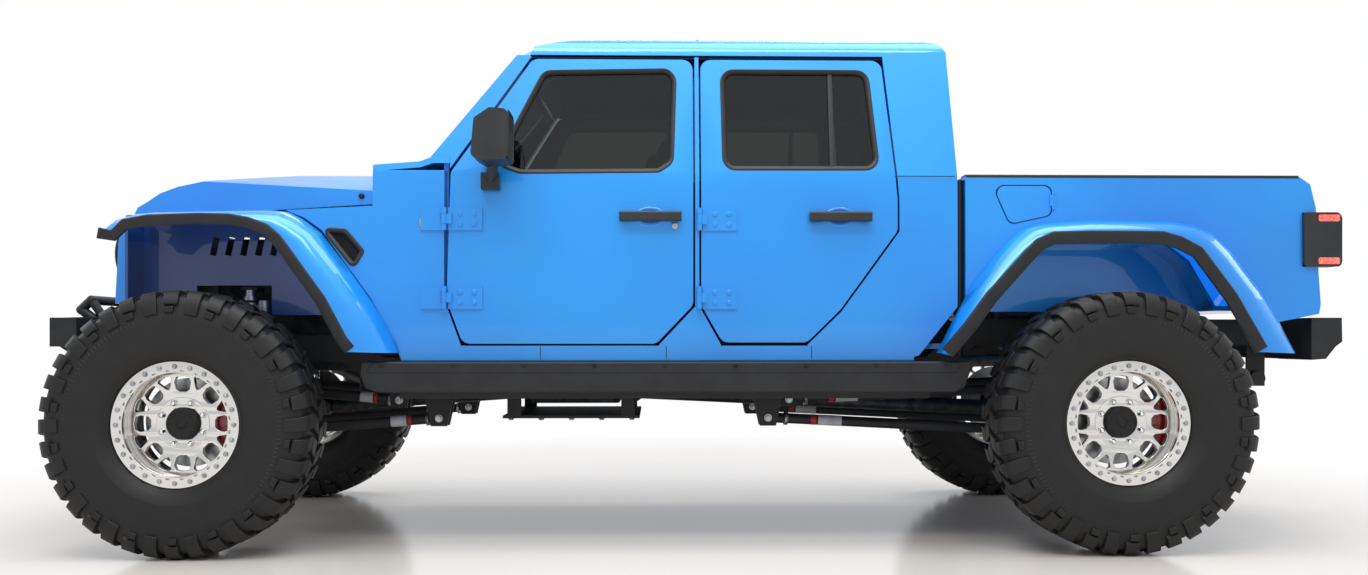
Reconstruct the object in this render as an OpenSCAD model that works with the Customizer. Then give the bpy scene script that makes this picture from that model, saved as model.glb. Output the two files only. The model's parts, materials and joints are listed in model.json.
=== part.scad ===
// Lifted crew-cab off-road pickup, an assembly of separate parts.
// X runs from the nose to the tail, Y to the vehicle's right and Z up from the ground.
// Front parts are drawn from the front axle, rear parts from the rear axle, and all heights are
// drawn for an axle 508 mm up: larger or smaller tyres then raise or lower the whole vehicle.

/* [Overall] */
// Distance between the axles
wheelbase = 3620; // [3540:10:4400]
// From the front bumper's face to the front axle
front_overhang = 720; // [700:5:900]
// From the rear axle to the rear bumper's face
rear_overhang = 1000; // [980:5:1250]
// Half the body's width at the doors
side_half = 800; // [780:5:960]

/* [Wheels] */
// Tyre's outside diameter
tyre_d = 1016; // [840:2:1040]
// Tyre's width across the sidewalls
tyre_w = 330; // [270:2:340]
// Diameter of the tyre's seat on the rim
seat_d = 450; // [440:2:470]
// Middle of the tyre outside the body's side
wheel_out = 100; // [95:1:130]
// Radius of the stub that a wheel turns on
stub_r = 39; // [30:1:42]
// Running gap between a stub or pin and its bore
pin_gap = 0.5; // [0.3:0.1:1]

/* [Doors] */
// Depth of a door from skin to inner trim
door_depth = 100; // [70:1:125]
// Depth of a door's outer skin flange and its window frame
skin_depth = 34; // [25:1:45]
// Gap round each door
door_gap = 8; // [7:0.5:12]
// How far the hinge pins stand outside the skin
hinge_out = 16; // [14:1:24]

/* [Frame] */
// Outside of the frame rails, from the middle
rail_out = 445; // [400:1:450]
// Width of a frame rail
rail_w = 65; // [50:1:80]
// Height of a frame rail
rail_h = 110; // [90:1:130]
// Radius of the axle tubes
tube_r = 45; // [36:1:50]

/* [Bed] */
// Gap between the cab and the bed
bed_gap = 32; // [25:1:60]
// Thickness of the bed's double side walls
bed_wall = 70; // [55:1:80]
// Thickness of the tailgate
gate_t = 58; // [45:1:62]

/* [Hidden] */

$fn = 48;
hull_fn = 32;

// Places of the axles
overall_len = front_overhang + wheelbase + rear_overhang;
ax_f = front_overhang - overall_len / 2;
ax_r = ax_f + wheelbase;
axle_z = 508;
rise = tyre_d / 2 - axle_z;
wheel_y = side_half + wheel_out;
// The kingpins stand this far inside the wheels' middle
kingpin_in = 140;
kingpin_y = wheel_y - kingpin_in;

// Heights of the body
sill_z = 745;
floor_z = 790;
floor_t = 22;
belt_z = 1490;
seam_z = 1350;
roof_z = 2060;
drip_z = 1982;

// The body side: a slight bow below the belt line, and a straight lean above it
side_bow = 7;
bow_z = 1150;
bow_h = 400;
lean = 0.2;
side_levels = [sill_z - 60, 850, 950, 1050, 1150, 1250, 1350, 1430, belt_z, 2120];
function bow(z) = side_bow * pow((z - bow_z) / bow_h, 2);
function side_y(z) = z < belt_z ? side_half - bow(z) : side_half - bow(belt_z) - (z - belt_z) * lean;

// Cab lengths from the front axle
cowl_x = 688;
firewall_x = 960;
front_door_x0 = 980;
front_door_x1 = 1957;
rear_door_x0 = 1989;
cab_x1 = 3015;
dx = wheelbase;
// The bed starts behind the cab, drawn from the rear axle
bed_x0 = cab_x1 + bed_gap - dx;
bed_x1 = 868;
bed_floor_z = 965;
bed_rail_z = 1484;

// Windscreen plane: its foot, its top and its slope
screen_foot = [923, 1567];
screen_top = [1248, 1983];
screen_len = norm(screen_top - screen_foot);
screen_slope = atan2(screen_top.y - screen_foot.y, screen_top.x - screen_foot.x);
screen_t = 40;

blue = "#1E86E6";
deep_blue = "#1B6BC4";
black = "#1B1C1E";
grey = "#3A3C40";
steel = "#6A6D72";
bright = "#C9CBD0";

// Moves children to the front or the rear axle's place
module at_front() translate([ax_f, 0, 0]) children();
module at_rear() translate([ax_r, 0, 0]) children();
// Both sides of a symmetric part
module pair() {
    children();
    mirror([0, 1, 0]) children();
}
// One side of the vehicle: -1 is the left, as drawn, and 1 the right
module on_side(s) {
    if (s < 0) children();
    else mirror([0, 1, 0]) children();
}
// An outline in x and z, as thick as y0 to y1 outwards on the left
module across(y0, y1) rotate([90, 0, 0]) translate([0, 0, y0]) linear_extrude(y1 - y0) children();
// A section in y and z, run from x0 to x1
module along(x0, x1) translate([x0, 0, 0]) rotate([90, 0, 90]) linear_extrude(x1 - x0) children();
// A plan in x and y, run from z0 to z1
module upward(z0, z1) translate([0, 0, z0]) linear_extrude(z1 - z0) children();
// A block given by its two corners, its sideways places measured outwards on the left
module block(a, b) translate([a.x, -b.y, a.z]) cube([b.x - a.x, b.y - a.y, b.z - a.z]);
// A round bar between two points
module bar(a, b, r) {
    d = b - a;
    translate(a) rotate([0, acos(d.z / norm(d)), atan2(d.y, d.x)]) cylinder(h = norm(d), r = r);
}
// A bent tube through a list of points
module bent(points, r) {
    for (i = [0:len(points) - 2]) bar(points[i], points[i + 1], r);
    for (i = [1:len(points) - 2]) translate(points[i]) sphere(r + 0.6);
}
// A boss with its axis across the vehicle, y0 to y1 outwards on the left
module boss(x, z, y0, y1, r) translate([x, -y0, z]) rotate([90, 0, 0]) cylinder(h = y1 - y0, r = r);
// A point given with its sideways place outwards on the left
function lp(x, y, z) = [x, -y, z];

function unit(v) = v / norm(v);
function mix(a, b, t) = a + (b - a) * t;
// A corner at p between its neighbours a and b, rounded to radius r in n steps
function corner(a, p, b, r, n) =
    let (u = unit(a - p), v = unit(b - p), half = acos(u * v) / 2,
         reach = min(r / tan(half), 0.48 * min(norm(a - p), norm(b - p))), rr = reach * tan(half),
         c = p + unit(u + v) * rr / sin(half), s = p + u * reach - c, e = p + v * reach - c,
         a0 = atan2(s.y, s.x), turn = (atan2(e.y, e.x) - a0 + 540) % 360 - 180)
    [for (i = [0:n]) c + rr * [cos(a0 + turn * i / n), sin(a0 + turn * i / n)]];
// A closed outline with every corner rounded
function rounded(pts, r, n = 5) = let (k = len(pts))
    [for (i = [0:k - 1]) each corner(pts[(i + k - 1) % k], pts[i], pts[(i + 1) % k], r, n)];
// A closed outline, drawn anticlockwise, moved inwards by d
function inset(pts, d) = let (k = len(pts))
    [for (i = [0:k - 1]) let (p = pts[i], u = unit(pts[(i + k - 1) % k] - p), v = unit(pts[(i + 1) % k] - p),
        way = cross(v, u) > 0 ? 1 : -1) p + way * unit(u + v) * d / sin(acos(u * v) / 2)];
// A solid through rings of points, all of the same count, closed at both ends
module loft(rings) {
    n = len(rings[0]);
    m = len(rings);
    polyhedron(points = [for (ring = rings) each ring],
        faces = concat([[for (i = [0:n - 1]) i]], [[for (i = [n - 1:-1:0]) (m - 1) * n + i]],
            [for (j = [0:m - 2], i = [0:n - 1]) let (k = (i + 1) % n)
                [j * n + k, j * n + i, (j + 1) * n + i, (j + 1) * n + k]]));
}

// The cab's section in y and z, moved inwards by d
module side_section(d) {
    n = len(side_levels) - 1;
    right = [for (z = side_levels) [side_y(z) - d, z]];
    left = [for (i = [n:-1:0]) [d - right[i].x - d, side_levels[i]]];
    polygon(concat(right, left));
}
// A panel of the body side, d0 to d1 in from the skin, cut to an outline in x and z
module side_panel(d0, d1) {
    intersection() {
        across(side_half / 2, side_half + 60) children();
        difference() {
            along(-700, cab_x1 + wheelbase) side_section(d0);
            along(-800, cab_x1 + wheelbase + 100) side_section(d1);
        }
    }
}

// ---- Frame ----
rail_in = rail_out - rail_w;
front_rail_z = 790;
mid_rail_z = 695;
rear_rail_z = 860;
// The rail's middle line in x and z, from the front axle
rail_line = [[-534.7, front_rail_z], [470, front_rail_z], [640, mid_rail_z], [dx - 640, mid_rail_z],
    [dx - 440, rear_rail_z], [dx + 839.7, rear_rail_z]];
lower_f = [889, 494];
upper_f = [706, 567];
lower_r = [dx - 1332, 494];
upper_r = [dx - 1235, 569];
arm_r = 22;
arm_boss = 28;
lower_arm_y = rail_out - rail_w / 2;
upper_arm_y = rail_in - 40;
// Room beside an arm's boss in its bracket
seat_gap = 0.3;
arm_half = 28;
plate_t = 10;
pitman_at = [-60, 340];
gear_z = 620;
sector_r = 12;

module rail() {
    top = [for (p = rail_line) [p.x, p.y + rail_h / 2]];
    n = len(rail_line) - 1;
    low = [for (i = [n:-1:0]) [rail_line[i].x, rail_line[i].y - rail_h / 2]];
    across(rail_in, rail_out) polygon(concat(top, low));
}
// Two plates that hold an arm's end, hung under the rail from z_top
module arm_plates(p, y, z_top) {
    for (side = [-1, 1]) {
        edge = y + side * (arm_half + seat_gap);
        lo = min(edge, edge + side * plate_t);
        across(lo, lo + plate_t) polygon([[p.x - 75, z_top], [p.x - 34, p.y - 34], [p.x + 34, p.y - 34],
            [p.x + 75, z_top]]);
    }
}
module upper_plates(p, y) {
    for (side = [-1, 1]) {
        edge = y + side * (arm_half + seat_gap);
        lo = min(edge, edge + side * plate_t);
        across(lo, lo + plate_t) polygon([[p.x - 55, mid_rail_z], [p.x - 34, p.y - 34], [p.x + 34, p.y - 34],
            [p.x + 55, mid_rail_z]]);
        if (side > 0) block([p.x - 55, y + arm_half + seat_gap, mid_rail_z - 45],
            [p.x + 55, rail_in, mid_rail_z]);
    }
    block([p.x - 55, y - arm_half - seat_gap - plate_t, mid_rail_z - plate_t],
        [p.x + 55, y + arm_half + seat_gap, mid_rail_z]);
}
module crossmember(x, z, r = 34) across(-rail_in - 5, rail_in + 5) translate([x, z]) circle(r);
// A bucket over a coil spring, carried by the rail
coil_y = 525;
// Undersides of the coils' buckets, front and rear
coil_tops = [900, 884];
module coil_bucket(x, z_rail, top) {
    translate([x, -coil_y, top]) difference() {
        cylinder(h = 60, r = 82);
        translate([0, 0, -1]) cylinder(h = 46, r = 70);
    }
    block([x - 60, rail_out - 5, z_rail - rail_h / 2], [x + 60, rail_out + 12, top + 60]);
}
shock_y = 500;
// Heights of the shocks' upper mounts, front and rear
shock_tops = [1020, 900];
shock_dx = 118;
module shock_tower(x, z_rail, top) {
    block([x + shock_dx - 32, rail_out - 5, z_rail - rail_h / 2],
        [x + shock_dx + 32, rail_out + 8, top + 25]);
    block([x + shock_dx - 32, rail_out, top + 15], [x + shock_dx + 32, shock_y + 34, top + 25]);
}
skid_x = [1147, 1739];
skid_y = rail_in - 20;
module skid_plate() {
    z = [487, 499];
    block([skid_x[0], -skid_y, z[0]], [skid_x[1], skid_y, z[1]]);
    for (x = [skid_x[0] + 20, skid_x[1] - 80]) pair() {
        block([x, skid_y - 12, z[0]], [x + 60, skid_y, mid_rail_z]);
        block([x, skid_y - 12, mid_rail_z - 12], [x + 60, rail_in + 5, mid_rail_z]);
    }
}
mount_x = [760, 1900, 2900];
module frame() color(black) at_front() difference() {
    union() {
        pair() {
            rail();
            arm_plates(lower_f, lower_arm_y, mid_rail_z - rail_h / 2 + 5);
            arm_plates(lower_r, lower_arm_y, mid_rail_z - rail_h / 2 + 5);
            upper_plates(upper_f, upper_arm_y);
            upper_plates(upper_r, upper_arm_y);
            coil_bucket(0, front_rail_z, coil_tops[0]);
            coil_bucket(dx, rear_rail_z, coil_tops[1]);
            shock_tower(0, front_rail_z, shock_tops[0]);
            shock_tower(dx, rear_rail_z, shock_tops[1]);
            for (x = mount_x) translate(lp(x, rail_out - rail_w / 2, mid_rail_z))
                cylinder(h = floor_z - mid_rail_z, r = 30);
            for (x = [dx - 400, dx + 780]) translate(lp(x, rail_out - rail_w / 2, rear_rail_z))
                cylinder(h = bed_floor_z - 20 - rear_rail_z, r = 30);
            block([-352, rail_in, front_rail_z], [-325, rail_out, 975]);
        }
        crossmember(-430, front_rail_z);
        crossmember(1850, mid_rail_z);
        crossmember(dx - 330, rear_rail_z);
        crossmember(dx + 420, rear_rail_z);
        crossmember(dx + 780, rear_rail_z);
        skid_plate();
        steering_box();
        hitch();
    }
    translate([dx + hitch_x0 + 40, 0, hitch_z]) cube([2 * (hitch_x1 - hitch_x0), hitch_hole, hitch_hole],
        center = true);
}
module steering_box() {
    block([pitman_at.x - 55, pitman_at.y - 45, gear_z + 45], [pitman_at.x + 55, rail_in + 5, front_rail_z]);
    translate(lp(pitman_at.x, pitman_at.y, gear_z - 74)) cylinder(h = 130, r = sector_r);
}
hitch_x0 = 740;
hitch_x1 = 960;
hitch_z = 640;
hitch_hole = 51;
module hitch() translate([dx, 0, 0]) {
    block([hitch_x0, -38, hitch_z - 38], [hitch_x1, 38, hitch_z + 38]);
    across(-rail_out + 20, rail_out - 20) translate([hitch_x0 + 60, hitch_z + 20]) circle(32);
    pair() block([hitch_x0 + 20, rail_in + 10, hitch_z - 14], [hitch_x0 + 100, rail_in + 22, rear_rail_z]);
}

// ---- Cab ----
// The cab's side ahead of the front door, over the fender's back edge
flank = [[1035, sill_z], [1035, 806], [977, 968], [970, 974], [970, 1500], [cowl_x, 1500],
    [cowl_x, seam_z + 8], [345, seam_z - 10], [419, 1310], [488, 1262], [682, 990], [775, 816],
    [800, sill_z]];
vent = [[494, 1266], [582, 1260], [651, 1178], [613, 1115]];
front_door = [[front_door_x0, 985], [1043, 812], [1810, 812], [front_door_x1, 966], [front_door_x1, 1964],
    [1312, 1964], [996, 1492]];
rear_door = [[rear_door_x0, 966], [2074, 817], [2411, 817], [2544, 947], [2774, 1263], [2774, 1390],
    [2723, 1964], [rear_door_x0, 1964]];
// The rear wall of the door opening, one gap outside the rear door
c_post = [[2411 + 4, 817 - door_gap], [2544 + 6, 947 - 6], [2774 + door_gap, 1260], [2774 + door_gap, 1391],
    [2723 + door_gap, drip_z]];
rear_corner = [[2861, 765], [cab_x1, 960]];
// The hardtop sits on the tub at this height
cut_z = belt_z - 8;
post_cut = mix(c_post[3], c_post[4], (cut_z - c_post[3].y) / (c_post[4].y - c_post[3].y));
tub_post = [c_post[0], c_post[1], c_post[2], c_post[3], post_cut];
wall_t = 40;
pillar_d = door_depth + 8;

module cab_tub() color(blue) at_front() {
    difference() {
        union() {
            // Floor, sills and firewall
            block([firewall_x, 120 - side_half, floor_z],
                [cab_x1 - 20, side_half - 120, floor_z + floor_t]);
            pair() {
                side_panel(0, 190) polygon([[800, sill_z], [rear_corner[0].x - 20, sill_z],
                    [rear_corner[0].x - 20, floor_z + 14], [800, floor_z + 14]]);
                side_panel(2, 50) polygon(flank);
                side_panel(0, wall_t) polygon(concat(tub_post, [[cab_x1, cut_z], [cab_x1, rear_corner[1].y],
                    rear_corner[0], [2790, sill_z], [2400, sill_z]]));
                side_panel(pillar_d, pillar_d + 50) polygon([[1935, floor_z], [2012, floor_z], [2012, 2019],
                    [1935, 2019]]);
                // The strip between the doors, which spreads to the sill between their lower corners
                side_panel(0, pillar_d + 2) polygon([[front_door_x1 + door_gap, floor_z],
                    [rear_door_x0 - door_gap, floor_z], [rear_door_x0 - door_gap, 1974],
                    [front_door_x1 + door_gap, 1974]]);
                side_panel(0, wall_t) polygon([[1812, floor_z], [1817, 803], [front_door_x1 + 6, 958],
                    [rear_door_x0 - 7, 961], [2066, 811], [2070, floor_z]]);
                side_panel(pillar_d, pillar_d + 50) polygon([[firewall_x, floor_z], [1010, floor_z],
                    [1010, 1480], [firewall_x, 1480]]);
                inner_c_post();
            }
            block([firewall_x, -(side_half - 60), floor_z], [firewall_x + 20, side_half - 60, 1530]);
            back_wall();
            cowl();
        }
        pair() across(side_half - 60, side_half + 20) polygon(inset(rounded(vent, 18), 4));
    }
    hinges_fixed();
    cowl_straps();
}
// The deep post behind the rear door, down to the floor
module inner_c_post() side_panel(wall_t - 2, pillar_d + 50) polygon(concat(tub_post,
    [[2850, cut_z], [2850, 1200], [2640, 900], [2550, floor_z], [2440, floor_z]]));
module back_wall() intersection() {
    block([cab_x1 - wall_t, -side_half, floor_z], [cab_x1, side_half, cut_z]);
    along(cab_x1 - 200, cab_x1 + 50) side_section(2);
    across(-side_half, side_half) polygon([rear_corner[0], rear_corner[1], [cab_x1, 1600], [2861, 1600]]);
}
// The plenum panel between the hood and the windscreen
module cowl() intersection() {
    across(-side_half, side_half) polygon([[cowl_x, 1522], [870, 1536], [922, 1556], [990, 1556],
        [990, 1530], [925, 1530], [874, 1512], [cowl_x, 1496]]);
    along(0, 2000) side_section(2);
}

// ---- Hinges ----
hinge_zs = [[950, 1039], [1261, 1350]];
barrel_r = 11;
hinge_pin_r = 5;
function hinge_y() = side_half + hinge_out;
// The fixed leaf of a hinge on the pin at x: barrel ends and a strap from the body
module hinge_fixed(x, z0, z1, strap) {
    for (z = [z0, z1 - 24]) translate(lp(x, hinge_y(), z)) cylinder(h = 24, r = barrel_r);
    translate(lp(x, hinge_y(), z0)) cylinder(h = z1 - z0, r = hinge_pin_r);
    for (z = [z0, z1 - 24]) block([x - strap.x, side_half - strap.y, z], [x, hinge_y(), z + 24]);
}
module hinges_fixed() pair() for (z = hinge_zs) {
    hinge_fixed(front_door_x0 - 8, z[0], z[1], [16, 4]);
    block([880, side_half - 6, z[0]], [front_door_x0 - 22, side_half + 6, z[1]]);
    hinge_fixed(rear_door_x0 - 8, z[0], z[1], [10, pillar_d + 4]);
}
// The moving leaf: the middle of the barrel and a plate on the door's skin
module hinge_moving(x, z0, z1) difference() {
    union() {
        translate(lp(x, hinge_y(), z0 + 25)) cylinder(h = z1 - z0 - 50, r = barrel_r);
        block([x, side_half - 8, z0 + 25], [x + 30, side_half + hinge_out + 4, z1 - 25]);
        block([x + 14, side_half - 8, z0], [x + 150, side_half + 6, z1]);
    }
    translate(lp(x, hinge_y(), z0)) cylinder(h = z1 - z0, r = hinge_pin_r + pin_gap);
}

// ---- Doors ----
front_window = [[1174, 1527], [1269, 1495], [1819, 1501], [1871, 1536], [1883, 1882], [1858, 1918],
    [1359, 1908]];
rear_window = [[2083, 1511], [2696, 1513], [2663, 1915], [2076, 1915]];
glass_t = 5;
glass_in = 16;
trim_in = 22;
// A door: the skin and window frame, and the deeper inner trim below the belt line
module door(outline, window, lead) {
    opening = rounded(window, 45);
    side_panel(0, skin_depth) difference() {
        polygon(rounded(outline, 42));
        polygon(opening);
    }
    side_panel(skin_depth - 1, door_depth) difference() {
        polygon(inset(rounded(outline, 42), trim_in));
        translate([0, belt_z - 30]) square([cab_x1, 900]);
    }
    for (z = hinge_zs) hinge_moving(lead - 8, z[0], z[1]);
}
handle_x = [[1668, 1905], [2423, 2662]];
handle_z = [1300, 1334];
module handle(x) {
    block([x[0], side_half + 18, handle_z[0]], [x[1], side_half + 34, handle_z[1]]);
    for (end = [x[0] + 6, x[1] - 36]) block([end, side_half - 8, handle_z[0] + 4],
        [end + 30, side_half + 20, handle_z[1] - 4]);
}
module door_front(s) color(blue) on_side(s) at_front() {
    door(front_door, front_window, front_door_x0);
    handle(handle_x[0]);
}
module door_rear(s) color(blue) on_side(s) at_front() {
    door(rear_door, rear_window, rear_door_x0);
    handle(handle_x[1]);
}
module door_glass(s, window) color("#20262A", 0.6) on_side(s) at_front()
    side_panel(glass_in, glass_in + glass_t) polygon(rounded(window, 45));

mirror_z = [1501, 1701];
mirror_x = [1112, 1250];
mirror_y = [side_half + 66, side_half + 262];
module side_mirror(s) color(black) on_side(s) at_front() {
    x = mirror_x;
    z = mirror_z;
    shell = [[x[0], z[0] + 20], [x[0] + 40, z[0]], [x[1], z[0] + 8], [x[1], z[1] - 6],
        [x[0] + 70, z[1]], [x[0] + 12, z[1] - 40]];
    across(mirror_y[0], mirror_y[1]) polygon(rounded(shell, 18));
    block([1120, side_half - 3, 1420], [1190, side_half + 40, 1486]);
    bar(lp(1155, side_half + 20, 1455), lp(1180, mirror_y[0] + 30, 1530), 22);
}

// ---- Hardtop, windscreen and glass ----
roof_r = 75;
module roof_section(d) {
    side = [side_y(roof_z) - d, roof_z - d];
    low = side_y(cut_z) - d;
    polygon(concat([[low, cut_z]], corner([low, cut_z], side, [0, roof_z - d], roof_r - d * 0.6, 6),
        corner([0, roof_z - d], [-side.x, side.y], [-low, cut_z], roof_r - d * 0.6, 6), [[-low, cut_z]]));
}
roof_line = [[1299, drip_z], [1318, 2019], [1400, 2038], [1476, 2050], [1979, roof_z], [2900, 2054],
    [2966, 2040], [2992, 2002], [cab_x1, cut_z]];
module hardtop() color(blue) at_front() difference() {
    intersection() {
        across(-side_half, side_half) polygon(concat(roof_line, [[1299, cut_z]]));
        along(1000, cab_x1 + 50) roof_section(0);
    }
    intersection() {
        across(-side_half, side_half) polygon(concat([[900, cut_z - 1], [900, 2022], [1979, 2024],
            [2900, 2016], [2945, 1995], [cab_x1 - wall_t, cut_z - 1]]));
        along(800, cab_x1 + 60) roof_section(wall_t);
    }
    // The doors' openings
    across(-side_half - 50, side_half + 50) polygon([[900, 1400], [post_cut.x, 1400], post_cut, c_post[4],
        [900, drip_z]]);
    // The back window
    along(cab_x1 - 200, cab_x1 + 60) polygon(rounded(back_window, 50));
}
back_window = [[-560, 1560], [560, 1560], [520, 1905], [-520, 1905]];

// Draws its children, an outline in (distance up the slope, y), t thick inwards from the screen plane
module on_screen(z0, z1) translate([screen_foot.x, 0, screen_foot.y]) rotate([0, -screen_slope, 0])
    translate([0, 0, z0]) linear_extrude(z1 - z0) children();
screen_hole = [[34, -690], [screen_len - 40, -600], [screen_len - 40, 600], [34, 690]];
module windshield_frame() color(blue) at_front() difference() {
    windshield_posts();
    // The cowl's place
    across(-side_half, side_half) polygon([[cowl_x, 1400], [cowl_x, 1536.3], [870, 1536.3], [922, 1556.3],
        [991, 1556.3], [991, 1400]]);
}
module windshield_posts() {
    intersection() {
        on_screen(-screen_t, 0) difference() {
            polygon([[-14, -800], [screen_len - 2, -800], [screen_len - 2, 800], [-14, 800]]);
            polygon(rounded(screen_hole, 60));
        }
        along(500, 1600) side_section(3);
    }
    // The posts beside the doors' edges, and the header under the roof's front
    pair() side_panel(3, 60) polygon([[880, 1500], [986, 1500], [1302, 1971], [1299, 1981.5], [1246, 1981.5],
        screen_foot]);
    intersection() {
        across(-side_half, side_half) polygon([[1246, 1980], [1312, 2021.7], [1345, 2021.7], [1345, 1995],
            [1290, 1950], [1262, 1950]]);
        along(1200, 1400) roof_section(wall_t + seat_gap);
    }
}
module fixed_glass() color("#20262A", 0.6) at_front() {
    on_screen(-24, -18) polygon(rounded(screen_hole, 60));
    foot = [cab_x1 - 22, cut_z];
    head = roof_line[7] - [22, 0];
    intersection() {
        across(-side_half, side_half) polygon([foot, foot + [glass_t, 0], head + [glass_t, 0], head]);
        along(cab_x1 - 200, cab_x1 + 60) polygon(rounded(back_window, 50));
    }
}

// ---- Nose ----
hood_half = [590, side_half - 52];
hood_t = 16;
hood_x = [-331, cowl_x - 10];
hood_top = [[-331, 1343], [-316, 1370], [-273, 1393], [-221, 1426], [-144, 1452], [-14, 1476], [116, 1488],
    [246, 1499], [415, 1511], [hood_x[1], 1523]];
module hood_plan(d) polygon([[hood_x[0] - 1, hood_half[0] - d], [hood_x[1] + 1, hood_half[1] - d],
    [hood_x[1] + 1, d - hood_half[1]], [hood_x[0] - 1, d - hood_half[0]]]);
module hood_side(d) polygon(concat([for (p = hood_top) [p.x + (p.x < 0 ? d : 0), p.y - d]],
    [[hood_x[1], 1369 - 2 * d], [226, 1349 - 2 * d], [-331 + d, 1343 - 2 * d]]));
module hood() color(blue) at_front() {
    hood_shell();
    hood_straps();
}
module hood_shell() difference() {
    intersection() {
        across(-side_half, side_half) hood_side(0);
        upward(1300, 1600) hood_plan(0);
        along(-400, 800) hood_section(0);
    }
    intersection() {
        translate([hood_t, 0, 0]) across(-side_half, side_half) hood_side(hood_t);
        upward(1200, 1700) hood_plan(hood_t);
        along(-500, 900) hood_section(hood_t);
    }
    // The two vents in the top
    pair() translate(lp(130, 300, 1400)) rotate([0, 0, -6]) cube([230, 120, 300]);
}
// Strap hinges on top, across the gap between hood and cowl
hood_hinge = [cowl_x - 5, 1530];
strap_y = 250;
module hood_straps() difference() {
    union() pair() {
        boss(hood_hinge.x, hood_hinge.y, strap_y + 21, strap_y + 49, 6);
        block([hood_hinge.x - 60, strap_y + 21, hood_top[9].y - 6],
            [hood_hinge.x, strap_y + 49, hood_hinge.y + 5]);
    }
    across(-strap_y - 80, strap_y + 80) translate(hood_hinge) circle(3 + pin_gap);
}
module cowl_straps() pair() {
    for (y = [strap_y, strap_y + 50]) {
        boss(hood_hinge.x, hood_hinge.y, y, y + 20, 6);
        block([hood_hinge.x, y, 1512], [hood_hinge.x + 50, y + 20, hood_hinge.y + 5]);
    }
    boss(hood_hinge.x, hood_hinge.y, strap_y + 10, strap_y + 60, 3);
}
// The hood's section: a crowned top and sloped shoulders
module hood_section(d) polygon([[side_half - d, 1250], [side_half - d, 1400 - d], [560 - d, 1506 - d],
    [300, 1523 - d], [0, 1528 - d], [-300, 1523 - d], [d - 560, 1506 - d], [d - side_half, 1400 - d],
    [d - side_half, 1250]]);

grille_half = 636;
grille_face = [[-389, 975], [-376, 1224], [-345, 1334], [-322, 1337]];
lamp_y = 515;
lamp_z = 1180;
lamp_r = 92;
slat_n = 5;
module grille() color(blue) at_front() difference() {
    across(-grille_half, grille_half) polygon(concat(grille_face, [[-322, 975]]));
    for (i = [0:slat_n - 1]) hull() for (y = [-345, 345], x = [-420, -300])
        translate([x, y, 1062 + i * 52]) sphere(r = 17, $fn = 16);
    pair() boss_x(-420, -300, lamp_y, lamp_z, lamp_r + 1);
    pair() boss_x(-420, -300, lamp_y, 1030, 41);
}
// A round bar along the vehicle
module boss_x(x0, x1, y, z, r) translate(lp(x0, y, z)) rotate([0, 90, 0]) cylinder(h = x1 - x0, r = r);
module headlights() color("#E8ECEF") at_front() pair() {
    boss_x(-392, -324, lamp_y, lamp_z, lamp_r);
    boss_x(-384, -324, lamp_y, 1030, 40);
}

// A flare: its crown line meets the body, its lip stands out, both as pairs of points in x and z
flare_out = 140;
flare_t = 12;
flare_steps = 7;
module flare(pairs, y0, y1) {
    outer = [for (k = pairs) [for (i = [0:flare_steps])
        flare_point(k[0], k[1], i / flare_steps, y0, y1, 0)]];
    inner = [for (k = pairs) [for (i = [flare_steps:-1:0])
        flare_point(k[0] + unit(k[1] - k[0]) * flare_t, k[1], i / flare_steps, y0, y1, flare_t)]];
    loft([for (k = [0:len(pairs) - 1]) concat(outer[k], inner[k])]);
}
// A point of a flare's section: level at the crown, upright at the lip
function flare_point(top, low, t, y0, y1, d) = let (a = pow(sin(90 * t), 0.8), b = 1 - pow(cos(90 * t), 0.8),
    p = mix(top, low, b)) [p.x, -(y0 + (y1 - d - y0) * a), p.y];
front_flare = [[[-312, 1256], [-324, 1222]], [[-283, 1300], [-262, 1212]], [[-205, 1320], [-216, 1256]],
    [[-129, 1327], [-133, 1271]], [[30, 1332], [50, 1278]], [[182, 1335], [170, 1276]],
    [[300, 1337], [240, 1264]], [[367, 1330], [302, 1241]], [[419, 1303], [340, 1208]],
    [[488, 1250], [376, 1160]], [[585, 1122], [441, 1068]], [[682, 985], [508, 975]],
    [[735, 895], [551, 895]], [[775, 816], [593, 816]], [[790, 776], [622, 781]]];
rear_flare = [[[-690, 775], [-664, 765]], [[-625, 905], [-576, 868]], [[-560, 1026], [-492, 983]],
    [[-470, 1151], [-400, 1085]], [[-400, 1228], [-345, 1146]], [[-345, 1272], [-305, 1186]],
    [[-290, 1291], [-258, 1207]], [[-122, 1304], [-110, 1210]], [[60, 1305], [30, 1210]],
    [[239, 1301], [164, 1208]], [[330, 1288], [225, 1190]], [[400, 1262], [293, 1156]],
    [[480, 1188], [350, 1080]], [[601, 1027], [423, 983]], [[685, 882], [485, 875]],
    [[742, 773], [540, 780]]];
apron_y = 540;
module front_fenders() color(blue) at_front() pair() {
    flare(front_flare, side_half - 1.7, side_half + flare_out);
    // The flat top that joins the flare to the apron
    across(apron_y + 6.3, side_half + 6) polygon(concat([for (i = [1:6]) front_flare[i][0] - [0, 3]],
        [for (i = [6:-1:1]) front_flare[i][0] - [0, 15]]));
}
// The aprons inside the wheel arches, with their slots
module inner_fenders() color(deep_blue) at_front() pair() difference() {
    union() {
        block([-322, apron_y - 6, 930], [firewall_x, apron_y + 6, 1316]);
        block([-322, apron_y + 5, 940], [-310, side_half - 100, 1302]);
        block([690, apron_y + 5, 830], [702, side_half - 55, 1302]);
    }
    for (i = [0:6]) translate(lp(-40 + i * 62, apron_y + 20, 1180)) rotate([0, 12, 0]) cube([26, 60, 76]);
    block([-400, apron_y - 20, 860], [-180, apron_y + 20, 960]);
    // Room for the coil's bucket and the shock
    block([-92, apron_y - 20, 920], [215, apron_y + 20, 1052]);
}
module rear_fenders() color(blue) at_rear() pair() flare(rear_flare, side_half + 0.3, side_half + flare_out);

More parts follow.
